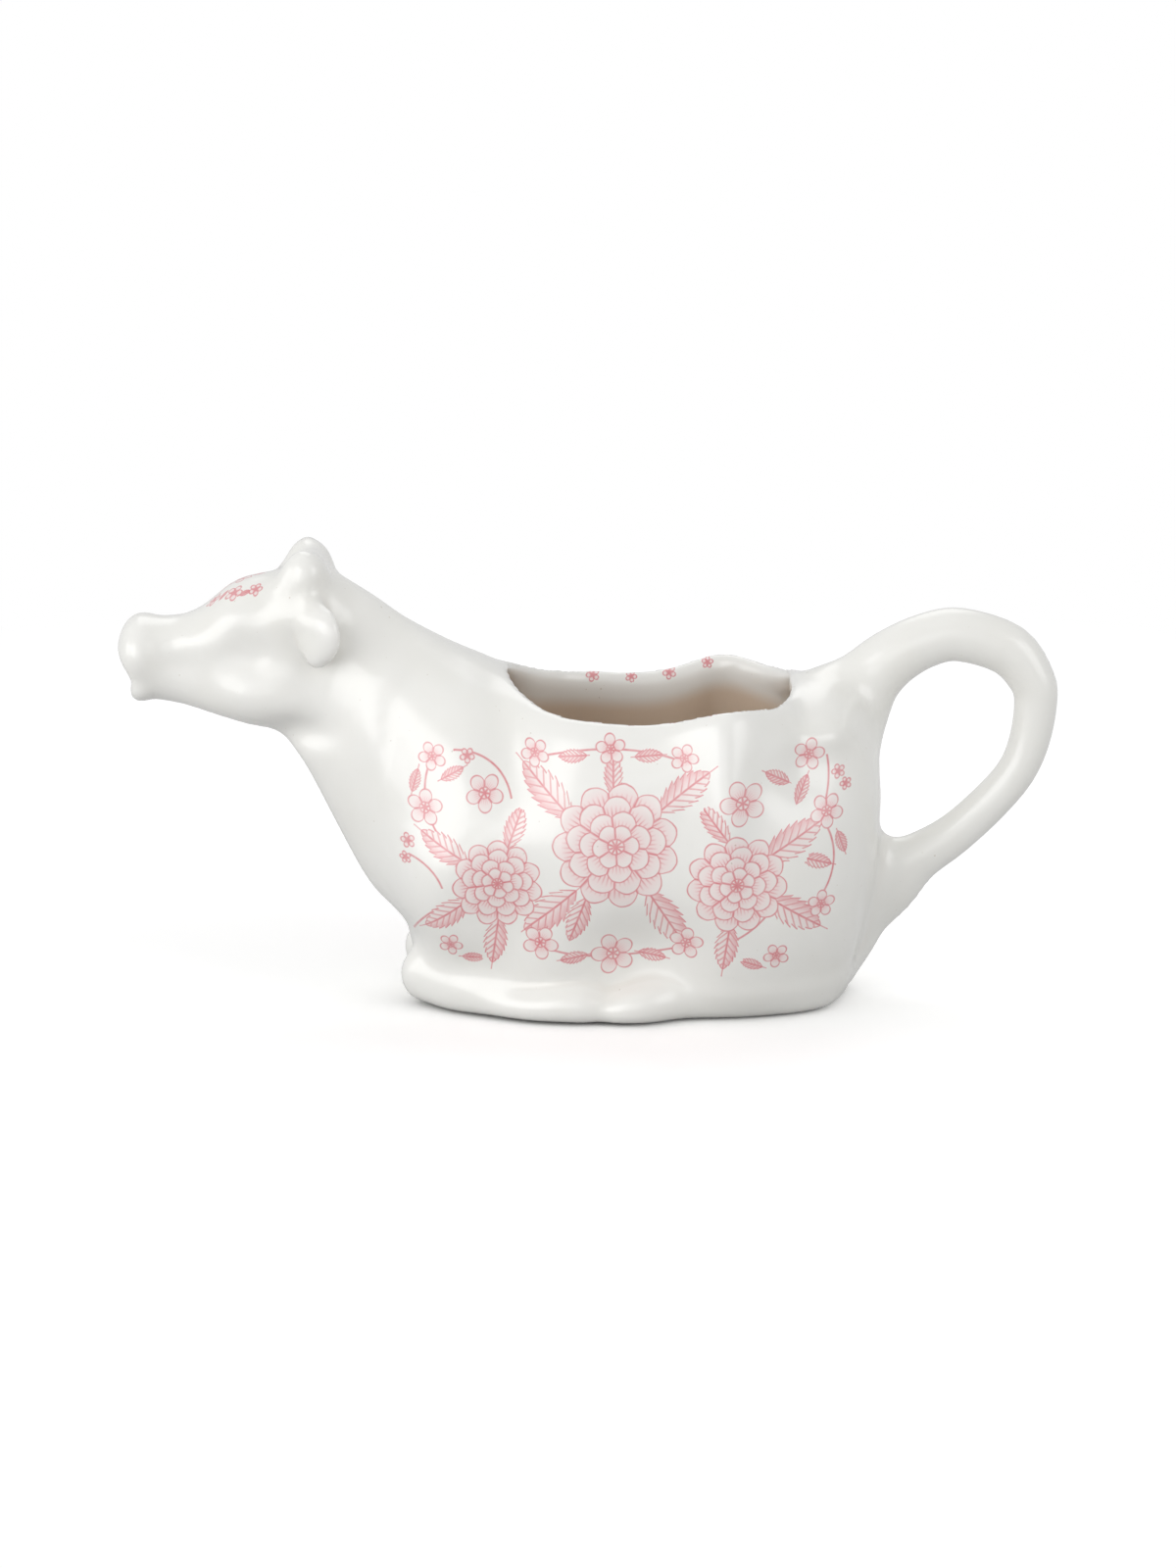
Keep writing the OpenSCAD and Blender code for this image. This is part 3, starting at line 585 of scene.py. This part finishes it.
def clay():
    """The whole form as one distance field over half the grid, where each luted part is, the share of
    painted shade on the inner wall below the rim, and the distance to the middle of the wall."""
    solid, past = loft()
    solid = solid - bumps(FACE_RELIEF)
    sheet = solid + WALL / 2
    deep = -solid - LIP_EDGE
    across = deep / np.where(deep > 0, WALL - LIP_EDGE, LIP_EDGE)
    upward = np.maximum(past + LIP_DEPTH - WALL / 2, 0) / LIP_DEPTH
    shell = to_distance(np.hypot(across, upward) - 1, 1 / WALL)
    floor = soft_max(solid, GZ - FLOOR_HEIGHT, BLENDS["corner"])
    body = soft_min(shell, floor, BLENDS["floor"])
    (across, upward), (x, z) = MUZZLE_SLANT
    muzzle = soft_max(ball(*MUZZLE), across * (GX - x) + upward * (GZ - z), BLENDS["slant"])
    body = soft_min(body, np.maximum(muzzle, -sheet), BLENDS["muzzle"])
    body = soft_min(body, np.maximum(ball(*LOWER_LIP), -sheet), BLENDS["lip"])
    horn = limb(root_stops(HORN_ROOT, HORN_SHARES, HORN_HEIGHT), (1, 0, 0))
    ear = limb(root_stops(EAR_ROOT, EAR_SHARES, EAR_LENGTH), (0.78, 0.63, 0))
    foreleg = limb(leg_stops(FORELEG_SHARES, KNEE_HEIGHT), (0, 1, 0))
    hindleg = limb(leg_stops(HINDLEG_SHARES, HOOF_HEIGHT), (0, 1, 0))
    handle = limb([[RUMP_X + s[0] * HANDLE_REACH, 0, s[1] * TRUNK_HEIGHT, s[2] * HANDLE_THICKNESS,
                    s[3] * HANDLE_THICKNESS] for s in HANDLE_SHARES], (0, 1, 0), 4)
    horn = soft_min(horn, ball(*CREST), BLENDS["crest"])
    parts = {"horn": horn, "ear": ear, "foreleg": foreleg, "hindleg": hindleg, "tail": handle}
    for name, part in parts.items():
        part = np.maximum(part, -sheet)
        parts[name] = np.where(part < FAR - 1, part - body, FAR)
        body = soft_min(body, part, BLENDS[name])
    body = body - bumps(EAR_FOLD)
    straight = (MOUTH_WIDTH - MOUTH_HEIGHT) / 2
    mouth = np.hypot(np.maximum(GY - straight, 0), GZ - MOUTH_MIDDLE) - MOUTH_HEIGHT / 2
    mouth = np.maximum(mouth, GX - MOUTH_END)
    body = soft_max(body, -mouth, BLENDS["mouth"])
    # painted shade inside the vessel, darker the deeper the inner wall lies below the rim
    inside = np.clip(0.5 - sheet, 0, 1) * np.clip(-(past + INSIDE_SHADE_START) / INSIDE_SHADE_GROWTH, 0, 1)
    return soft_max(body, -GZ, BLENDS["foot"]), parts, inside, sheet


def sample(field, points):
    """Values of a field, or of several side by side, at points in millimetres."""
    at = (points - np.array([axes[0][0], -axes[1][-1], axes[2][0]])) / CELL
    size = np.array(field.shape[:3])
    i = np.clip(np.floor(at).astype(int), 0, size - 2)
    f = np.clip(at - i, 0, 1)
    total = 0
    for dx in (0, 1):
        for dy in (0, 1):
            for dz in (0, 1):
                w = (np.where(dx, f[:, 0], 1 - f[:, 0]) * np.where(dy, f[:, 1], 1 - f[:, 1])
                     * np.where(dz, f[:, 2], 1 - f[:, 2]))
                v = field[i[:, 0] + dx, i[:, 1] + dy, i[:, 2] + dz]
                total = total + (w[:, None] * v if v.ndim > 1 else w * v)
    return total


def slopes_of(field):
    """The slope of a field along each axis."""
    return np.stack(np.gradient(field, CELL), axis=-1).astype(np.float32)


def moved_on(field, slopes, points, times):
    """Points moved onto a field's zero surface."""
    for _ in range(times):
        value, slope = sample(field, points), sample(slopes, points)
        points = points - slope * (value / np.maximum((slope ** 2).sum(1), LEAST_SLOPE))[:, None]
    return points


def mesh_clay():
    """The clay as triangles, with the values that the pieces and the glaze need at each vertex, and a
    function that moves points to the middle of the wall and gives them the same values."""
    half, parts, inner, sheet = clay()
    field, wall = whole(half), whole(sheet)
    wall_slopes = slopes_of(wall)
    labels = [whole(part) for part in parts.values()]
    bend = sum(np.gradient(np.gradient(half, CELL, axis=k), CELL, axis=k) for k in range(3))
    bend = whole(blurred(bend, 1))
    points, quads = surface(field)
    start = np.array([axes[0][0], -axes[1][-1], axes[2][0]])
    points = start + np.asarray(points, float) * CELL
    points = moved_on(field, slopes_of(field), points, SURFACE_MOVES)
    normals = sample(slopes_of(whole(blurred(half, CELL))), points)
    normals = normals / np.maximum(np.linalg.norm(normals, axis=1), 1e-6)[:, None]
    # share of painted shade inside the vessel
    inside = sample(whole(inner), points)
    # glaze pooling with painted shade in creases, and thin glaze on ridges
    pool_and_shade = np.clip(-sample(bend, points) * POOL_AND_SHADE_GAIN, -1, 1)
    quads = np.asarray(quads).astype(int)
    faces = np.concatenate([quads[:, [0, 1, 2]], quads[:, [0, 2, 3]]])

    def with_labels(points, *columns):
        return np.column_stack([points, *columns] + [sample(label, points) for label in labels])

    def in_wall(points):
        points = moved_on(wall, wall_slopes, points, WALL_MOVES)
        return with_labels(points, np.tile([0, 0, 1, 0, 0], (len(points), 1)))

    return with_labels(points, normals, inside, pool_and_shade), faces, list(parts), in_wall


def compact(data, faces):
    """A mesh without the vertices that no face uses."""
    used, faces = np.unique(faces, return_inverse=True)
    return data[used], faces.reshape(-1, 3)


def cut(data, faces, value, nested=False, settle=None):
    """A closed mesh cut where a value changes sign, as two closed meshes: below zero and above."""
    value = np.where(np.abs(value) < CUT_LEAST, CUT_LEAST, value)
    above = value[faces] > 0
    count = above.sum(1)
    mixed = (count == 1) | (count == 2)
    lone = np.argmax(above[mixed] == (count[mixed] == 1)[:, None], axis=1)
    corners = faces[mixed]
    a, b, c = (corners[np.arange(len(corners)), (lone + k) % 3] for k in range(3))
    edges = np.sort(np.concatenate([np.column_stack([a, b]), np.column_stack([a, c])]), axis=1)
    edges, which = np.unique(edges, axis=0, return_inverse=True)
    which = which.ravel()
    p, q = edges.T
    share = np.clip(value[p] / (value[p] - value[q]), CUT_SHARE, 1 - CUT_SHARE)[:, None]
    made = len(data) + which
    ab, ac = made[:len(a)], made[len(a):]
    data = np.concatenate([data, data[p] + share * (data[q] - data[p])])
    tip = np.column_stack([a, ab, ac])
    rest = np.concatenate([np.column_stack([ab, b, c]), np.column_stack([ab, c, ac])])
    tip_above = value[a] > 0
    rest_above = np.concatenate([~tip_above, ~tip_above])
    edges = np.column_stack([np.where(tip_above, ab, ac), np.where(tip_above, ac, ab)])
    data, lids = lid(data, edges, nested, settle)
    low = np.concatenate([faces[count == 0], tip[~tip_above], rest[~rest_above], lids[:, ::-1]])
    high = np.concatenate([faces[count == 3], tip[tip_above], rest[rest_above], lids])
    return compact(data, low), compact(data, high)


def loops_of(edges, nested):
    """The edges of a cut, loop by loop, or all together where loops are nested."""
    if not len(edges):
        return []
    if nested:
        return [edges]
    names, at = np.unique(edges, return_inverse=True)
    at = at.reshape(-1, 2)
    group = np.arange(len(names))
    for _ in range(len(names)):
        least = np.minimum(group[at[:, 0]], group[at[:, 1]])
        after = group.copy()
        np.minimum.at(after, at[:, 0], least)
        np.minimum.at(after, at[:, 1], least)
        if (after == group).all():
            break
        group = after[after]
    return [edges[group[at[:, 0]] == key] for key in np.unique(group)]


def lid(data, edges, nested, settle):
    """Closes the loops of a cut."""
    out = [np.zeros((0, 3), int)]
    for mine in loops_of(edges, nested):
        if settle:
            data, made = web(data, mine, settle)
            out.append(made)
            continue
        mesh = bmesh.new()
        verts = {int(k): mesh.verts.new(data[k, :3]) for k in np.unique(mine)}
        known = {v: k for k, v in verts.items()}
        for i, j in mine:
            mesh.edges.new((verts[int(i)], verts[int(j)]))
        bmesh.ops.triangle_fill(mesh, edges=mesh.edges[:], use_beauty=False)
        made = [[known[v] for v in face.verts] for face in mesh.faces]
        mesh.free()
        made = facing(data[:, :3], mine, np.array(made, int).reshape(-1, 3))
        out.append(made)
        for gap in loops_of(left_open(mine, made), False):
            data, made = web(data, gap, None)
            out.append(made)
    return data, np.concatenate(out)


def facing(points, edges, made):
    """A lid's triangles, each turned so that it goes against the cut's edges."""
    start, end = points[edges[:, 0]], points[edges[:, 1]]
    outward = -np.cross(start, end).sum(0)
    a, b, c = (points[made[:, k]] for k in range(3))
    turned = np.cross(b - a, c - a) @ outward < 0
    way = {(int(i), int(j)) for i, j in edges}
    for k, face in enumerate(made.tolist()):
        along = any((face[m - 1], face[m]) in way for m in range(3))
        against = any((face[m], face[m - 1]) in way for m in range(3))
        if along != against:
            turned[k] = along
    return np.where(turned[:, None], made[:, ::-1], made)


def left_open(edges, made):
    """The edges of a cut, or of the faces made there, that have no face on their other side."""
    sides = np.concatenate([edges] + [made[:, [k, (k + 1) % 3]] for k in range(3)])
    pairs, which = np.unique(np.sort(sides, axis=1), axis=0, return_inverse=True)
    balance = np.zeros(len(pairs), int)
    np.add.at(balance, which.ravel(), np.where(sides[:, 0] < sides[:, 1], 1, -1))
    return np.concatenate([pairs[balance > 0], pairs[balance < 0][:, ::-1]])


def web(data, edges, settle):
    """Closes a loop with rings round its middle, whose points settle where a function puts them, or
    with one fan where there is no such function."""
    names, at = np.unique(edges, return_inverse=True)
    at = at.reshape(-1, 2)
    rim = data[names, :3]
    middle = rim.mean(0)
    count = len(names)
    steps = LUTE_RINGS if settle else 1
    shares = np.arange(1, steps)[:, None, None] / steps
    inner = np.concatenate([(rim + (middle - rim) * shares).reshape(-1, 3), middle[None]])
    rings = [names] + [len(data) + k * count + np.arange(count) for k in range(steps - 1)]
    made = []
    for outer, within in zip(rings[:-1], rings[1:]):
        (a, b), (c, d) = outer[at].T, within[at].T
        made += [np.column_stack([b, a, c]), np.column_stack([b, c, d])]
    a, b = rings[-1][at].T
    made.append(np.column_stack([b, a, np.full(len(a), len(data) + len(inner) - 1)]))
    if settle:
        inner = settle(inner)
    else:
        inner = np.column_stack([inner, data[names, 3:].mean(0)[None]])
    return np.concatenate([data, inner]), np.concatenate(made)


def new_object(name, data):
    """A named object in the scene."""
    made = bpy.data.objects.new(name, data)
    bpy.context.scene.collection.objects.link(made)
    return made


def add_piece(name, data, faces, materials, nodes, slot):
    """A named piece that rides on the body and shows the given nodes."""
    mesh = bpy.data.meshes.new(name)
    mesh.vertices.add(len(data))
    mesh.vertices.foreach_set("co", (data[:, :3] / 1000).astype(np.float32).ravel())
    mesh.loops.add(faces.size)
    mesh.loops.foreach_set("vertex_index", faces.astype(np.int32).ravel())
    mesh.polygons.add(len(faces))
    mesh.polygons.foreach_set("loop_start", np.arange(0, faces.size, 3, dtype=np.int32))
    mesh.polygons.foreach_set("loop_total", np.full(len(faces), 3, np.int32))
    mesh.update(calc_edges=True)
    mesh.shade_smooth()
    mesh.normals_split_custom_set_from_vertices(data[:, 3:6].astype(np.float32))
    # painted shade inside the vessel, and the glaze pooling with painted shade in creases
    for key, column in (("inside", INSIDE_SHADE), ("pool_and_shade", POOL_AND_SHADE)):
        layer = mesh.attributes.new(key, "FLOAT", "POINT")
        layer.data.foreach_set("value", data[:, column].astype(np.float32))
    for material in materials:
        mesh.materials.append(material)
    piece = new_object(name, mesh)
    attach(piece, "root")
    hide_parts(*nodes)
    return piece


def add_print(piece, data, faces):
    """Gives each face the place of its motif, so that the glaze's material can draw it there."""
    corners = data[faces]
    centre = corners.mean(1)
    outward = centre[:, 1] * centre[:, 4] > 0
    upright = np.abs(centre[:, 4]) > FLANK_LOOK
    fields = {
        "flank": (0, 2, outward & upright & (centre[:, 0] > CHEST_X - PRINT_START)),
        "lip": (0, 2, ~outward & (centre[:, 2] > RIM_PRINT) & (centre[:, 0] > CHEST_X)),
        "brow": (0, 1, (centre[:, 5] > BROW_LOOK) & (centre[:, 0] < POLL_X)),
    }
    for key, table in (("rosette", ROSETTES), ("blossom", BLOSSOMS), ("leaf", LEAVES), ("stem", STEMS)):
        out = np.tile(np.float32(NO_MOTIF), (len(faces), 3, 1))
        best = np.full(len(faces), MOTIF_REACH)
        for field, motifs in table.items():
            i, j, mask = fields[field]
            for a, b, radius, *turn in motifs:
                x, y = centre[:, i] - a, centre[:, j] - b
                near = np.hypot(x, y) / radius
                take = mask
                if key == "stem":
                    past = np.degrees(np.arctan2(y, x)) - turn[0]
                    take = mask & (past % 360 <= turn[1] - turn[0])
                    near = np.abs(near - 1) * radius / 2
                    turn = (0,)
                take = take & (near < best)
                best[take] = near[take]
                c, s = math.cos(math.radians(turn[0])), math.sin(math.radians(turn[0]))
                x, y = (corners[take, :, i] - a) / radius, (corners[take, :, j] - b) / radius
                width = np.full(x.shape, LINE / radius)
                out[take] = np.stack([x * c + y * s, y * c - x * s, width], axis=-1)
        layer = piece.data.attributes.new(key, "FLOAT_VECTOR", "CORNER")
        layer.data.foreach_set("vector", out.astype(np.float32).ravel())


class Wire:
    """A number in a material that can be reckoned with."""

    def __init__(self, tree, socket):
        self.tree = tree
        self.socket = socket

    def __add__(self, other):
        return reckon("ADD", self, other)

    def __sub__(self, other):
        return reckon("SUBTRACT", self, other)

    def __rsub__(self, other):
        return reckon("SUBTRACT", other, self)

    def __mul__(self, other):
        return reckon("MULTIPLY", self, other)

    def __truediv__(self, other):
        return reckon("DIVIDE", self, other)

    def __abs__(self):
        return reckon("ABSOLUTE", self)


def reckon(operation, *values, clamp=False):
    """The outcome of one operation on wires and plain numbers."""
    tree = next(v.tree for v in values if isinstance(v, Wire))
    node = tree.nodes.new("ShaderNodeMath")
    node.operation = operation
    node.use_clamp = clamp
    for socket, value in zip(node.inputs, values):
        if isinstance(value, Wire):
            tree.links.new(value.socket, socket)
        else:
            socket.default_value = value
    return Wire(tree, node.outputs[0])


def ramp(value, low, high):
    """0 at low and 1 at high."""
    return reckon("MULTIPLY_ADD", value, 1 / (high - low), -low / (high - low), clamp=True)


def stroke(distance, width):
    """1 on a line and 0 away from it."""
    return reckon("SUBTRACT", 1.5, abs(distance) / width, clamp=True)


def over(under, drawn, cover):
    """What is drawn, where it covers, and what is under it elsewhere."""
    return reckon("MULTIPLY_ADD", drawn - under, cover, under)


def most(first, *others):
    """The greatest of some values."""
    for other in others:
        first = reckon("MAXIMUM", first, other)
    return first


def motif(tree, key, wobble):
    """A motif's own place: radius, turn from 0 to 1, both coordinates, and the line's width."""
    parts = tree.nodes.new("ShaderNodeSeparateXYZ")
    tree.links.new(value_of(tree, key, "Vector").socket, parts.inputs[0])
    x, y, width = (Wire(tree, parts.outputs[k]) for k in range(3))
    radius = reckon("SQRT", x * x + y * y)
    turn = reckon("ARCTAN2", y, x) / (2 * math.pi)
    return radius + wobble, turn, x, y, width


def petals(drawing, place, count, reach, phase, scallop, base):
    """Draws a ring of petals over what is drawn already: ink lines, hatching and a pale wash."""
    ink, wash = drawing
    radius, turn, _, _, width = place
    along = reckon("FRACT", turn * count + (phase + count))
    side = abs(along - 0.5) * 2
    edge = reckon("MULTIPLY_ADD", side * side, -scallop * reach, reach)
    rim = edge - radius
    cover = reckon("ADD", rim / width, 1, clamp=True)
    gap = (1 - side) * radius * (math.pi / count)
    hatch = ramp(reckon("SINE", along * (2 * math.pi * HATCHES)), 0.1, 0.9)
    hatch = hatch * ramp(radius, base + 0.5 * (reach - base), base)
    drawn = most(stroke(rim, width), stroke(gap, width), hatch * 0.8)
    tone = ramp(radius, reach, base) * 0.85 + 0.2
    return over(ink, drawn, cover), over(wash, tone, cover)


def leaf(drawing, place):
    """Draws toothed leaves with a midrib and veins, one half in shade."""
    ink, wash = drawing
    _, _, x, y, width = place
    away = abs(y)
    tooth = reckon("FRACT", x * TEETH - away * 1.5 + 9)
    plump = reckon("POWER", reckon("MAXIMUM", 1 - x * x, 0), 0.8)
    rim = plump * (tooth * 0.12 + 0.36) - away
    cover = reckon("ADD", rim / width, 1, clamp=True)
    vein = stroke(abs(reckon("FRACT", x * VEINS - away * 4 + 9) - 0.5) * 0.25, width)
    shade = ramp(y, -0.02, 0.1) * ramp(rim, 0.3, 0) * 0.6
    drawn = most(stroke(rim, width), stroke(y, width), vein * 0.8, shade)
    return over(ink, drawn, cover), over(wash, ramp(y, -0.3, 0.2) * 0.6 + 0.3, cover)


def noise(tree, key, detail=2):
    """Soft noise fixed to the clay."""
    place = tree.nodes.new("ShaderNodeTexCoord")
    made = tree.nodes.new("ShaderNodeTexNoise")
    made.inputs["Scale"].default_value = NOISE[key]
    made.inputs["Detail"].default_value = detail
    tree.links.new(place.outputs["Object"], made.inputs["Vector"])
    return Wire(tree, made.outputs["Fac"])


def value_of(tree, key, output="Fac"):
    """A value that the mesh holds."""
    source = tree.nodes.new("ShaderNodeAttribute")
    source.attribute_name = key
    return Wire(tree, source.outputs[output])


def tint(tree, colour, other, share):
    """A colour turned towards another by a share. The first may be a socket."""
    mix = tree.nodes.new("ShaderNodeMix")
    mix.data_type = "RGBA"
    tree.links.new(share.socket, mix.inputs[0])
    if isinstance(colour, tuple):
        mix.inputs[6].default_value = colour
    else:
        tree.links.new(colour, mix.inputs[6])
    mix.inputs[7].default_value = other
    return mix.outputs[2]


def flowers(tree):
    """The print's ink and wash."""
    wobble = (noise(tree, "wobble") - 0.5) * 0.07
    stem = motif(tree, "stem", wobble * 0)
    drawing = stroke(stem[0] - 1, stem[4]), stem[0] * 0
    drawing = leaf(drawing, motif(tree, "leaf", wobble))
    for key, rings in (("blossom", BLOSSOM_RINGS), ("rosette", ROSETTE_RINGS)):
        place = motif(tree, key, wobble)
        for ring in rings:
            drawing = petals(drawing, place, *ring)
    return drawing


def new_material(name, surface):
    """A material with a surface's settings, its nodes and its shader."""
    made = bpy.data.materials.new(name)
    made.use_nodes = True
    shader = made.node_tree.nodes["Principled BSDF"]
    for key, value in surface.items():
        shader.inputs[key].default_value = value
    return made, made.node_tree, shader


def bumpy(tree, height, strength, distance):
    """The socket of normals with small bumps."""
    bump = tree.nodes.new("ShaderNodeBump")
    bump.inputs["Strength"].default_value = strength
    bump.inputs["Distance"].default_value = distance
    tree.links.new(height.socket, bump.inputs["Height"])
    return bump.outputs[0]


def glaze_material(printed):
    """Cream clay under a clear glaze that pools in creases, with painted shade in the creases and inside
    the vessel, and the print in between.
    """
    made, tree, shader = new_material("printed_glaze" if printed else "glaze", GLAZE)
    colour = tint(tree, CLAY, CLAY_DEEP, ramp(noise(tree, "tone"), 0.35, 0.75))
    # painted shade in creases, with the glaze pooled there
    colour = tint(tree, colour, CLAY_POOL_AND_SHADE, ramp(value_of(tree, "pool_and_shade"), 0.15, 1) * 0.5)
    colour = tint(tree, colour, CLAY_THIN, ramp(value_of(tree, "pool_and_shade"), -0.25, -1) * 0.5)
    # painted shade inside the vessel
    colour = tint(tree, colour, CLAY_INSIDE_SHADE, value_of(tree, "inside"))
    if printed:
        ink, wash = flowers(tree)
        colour = tint(tree, colour, WASH, wash * 0.65)
        colour = tint(tree, colour, INK, ink * (noise(tree, "ink") * 0.5 + 0.55))
    colour = tint(tree, colour, SPECK, ramp(noise(tree, "speck", 0), 0.86, 0.9) * 0.5)
    tree.links.new(colour, shader.inputs["Base Color"])
    normal = bumpy(tree, noise(tree, "wave", 1) + noise(tree, "grain", 1) * 0.06, *GLAZE_BUMPS)
    tree.links.new(normal, shader.inputs["Normal"])
    tree.links.new(normal, shader.inputs["Coat Normal"])
    return made


def bisque_material():
    """The unglazed, slightly rough underside."""
    made, tree, shader = new_material("bisque", FOOT)
    colour = tint(tree, BISQUE, BISQUE_WORN, ramp(noise(tree, "worn", 4), 0.4, 0.7))
    colour = tint(tree, colour, SPECK, ramp(noise(tree, "foot speck", 0), 0.78, 0.84) * 0.5)
    tree.links.new(colour, shader.inputs["Base Color"])
    tree.links.new(bumpy(tree, noise(tree, "foot grain", 3), *FOOT_BUMPS), shader.inputs["Normal"])
    return made


def build():
    """Cuts the clay at its lutes into the parts that the CAD model names."""
    data, faces, names, in_wall = mesh_clay()
    plain, printed, bisque = glaze_material(False), glaze_material(True), bisque_material()
    rest = data, faces
    for k, name in reversed(list(enumerate(names))):
        part, rest = cut(*rest, rest[0][:, LUTES + k], settle=None if name == "tail" else in_wall)
        sides = ("",) if name == "tail" else ("_left", "_right")
        pieces = (part,) if name == "tail" else cut(*part, part[0][:, 1], nested=True)
        for side, piece in zip(sides, pieces):
            node = "tail_handle" if name == "tail" else name + side
            add_piece(node + "_clay", *piece, [plain], [node], "glaze")
    head, rest = cut(*rest, rest[0][:, 0] - POLL_X, nested=True)
    add_print(add_piece("head_clay", *head, [printed], ["head"], "glaze"), *head)
    base, body = cut(*rest, rest[0][:, 2] - BASE_HEIGHT, nested=True)
    add_print(add_piece("body_clay", *body, [printed], ["body_shell"], "glaze"), *body)
    slab = add_piece("base_clay", *base, [plain, bisque], ["base_slab"], "bisque")
    under = base[0][base[1], 2].max(1) < FOOT_TOP
    slab.data.polygons.foreach_set("material_index", under.astype(np.int32))


def camera():
    data = bpy.data.cameras.new("camera")
    data.sensor_width = SENSOR
    data.lens = SENSOR * FOCAL_PIXELS / PHOTO_HEIGHT
    data.clip_start = NEAR_CLIP
    made = new_object("camera", data)
    tilt = math.radians(CAMERA_ELEVATION)
    made.location = (0, -CAMERA_DISTANCE * math.cos(tilt), AIM_HEIGHT + CAMERA_DISTANCE * math.sin(tilt))
    made.rotation_euler = (math.pi / 2 - tilt, 0, 0)
    bpy.context.scene.camera = made


def stage():
    """A white floor that keeps the object's shadow. Away from the object it is plain white."""
    mesh = bpy.data.meshes.new("floor")
    corners = [(x * FLOOR_SIZE, y * FLOOR_SIZE, 0) for x, y in ((-1, -1), (1, -1), (1, 1), (-1, 1))]
    mesh.from_pydata(corners, [], [(0, 1, 2, 3)])
    floor = new_object("floor", mesh)
    made, tree, shader = new_material("floor", FLOOR)
    nodes, links = tree.nodes, tree.links
    seen = seen_ray(tree)
    lift = nodes.new("ShaderNodeBsdfDiffuse")
    links.new(tint(tree, (0, 0, 0, 1), FLOOR_LIFT, seen), lift.inputs["Color"])
    near = nodes.new("ShaderNodeAddShader")
    links.new(shader.outputs[0], near.inputs[0])
    links.new(lift.outputs[0], near.inputs[1])
    place = nodes.new("ShaderNodeTexCoord")
    far = nodes.new("ShaderNodeVectorMath")
    far.operation = "LENGTH"
    links.new(place.outputs["Object"], far.inputs[0])
    share = seen * ramp(Wire(tree, far.outputs["Value"]), *FLOOR_FADE)
    white = nodes.new("ShaderNodeEmission")
    mix = nodes.new("ShaderNodeMixShader")
    links.new(share.socket, mix.inputs[0])
    links.new(near.outputs[0], mix.inputs[1])
    links.new(white.outputs[0], mix.inputs[2])
    links.new(mix.outputs[0], nodes["Material Output"].inputs["Surface"])
    mesh.materials.append(made)
    return floor


def seen_ray(tree):
    """1 for rays from the camera, less for what the glaze reflects, and 0 for light."""
    path = tree.nodes.new("ShaderNodeLightPath")
    rays = ("Is Camera Ray", "Is Glossy Ray", "Is Transmission Ray")
    direct, glossy, through = (Wire(tree, path.outputs[ray]) for ray in rays)
    return most(direct, glossy * GLOSS_WHITE, through)


def area(name, place, size, power, spared):
    """A soft rectangular lamp that faces the object. It may spare what is in a collection."""
    data = bpy.data.lights.new(name, "AREA")
    data.shape = "RECTANGLE"
    data.size, data.size_y = size
    data.energy = power
    made = new_object(name, data)
    made.location = place
    made.rotation_euler = (Vector((0, 0, AIM_HEIGHT)) - Vector(place)).to_track_quat("-Z", "Y").to_euler()
    made.light_linking.receiver_collection = spared


def lights(floor):
    """Even light with five large soft lamps, the strongest at the front left."""
    spared = bpy.data.collections.new("spared")
    spared.objects.link(floor)
    spared.collection_objects[0].light_linking.link_state = "EXCLUDE"
    for *lamp, spares in LAMPS:
        area(*lamp, spared if spares else None)
    world = bpy.data.worlds.new("world")
    bpy.context.scene.world = world
    world.use_nodes = True
    tree = world.node_tree
    ground = tree.nodes["Background"]
    ground.inputs["Color"].default_value = (1, 1, 1, 1)
    strength = tree.nodes.new("ShaderNodeMix")
    strength.inputs[2].default_value = ROOM_LIGHT
    strength.inputs[3].default_value = 1
    tree.links.new(seen_ray(tree).socket, strength.inputs[0])
    tree.links.new(strength.outputs[0], ground.inputs["Strength"])


build()
camera()
lights(stage())
bpy.context.scene.view_settings.view_transform = "Standard"
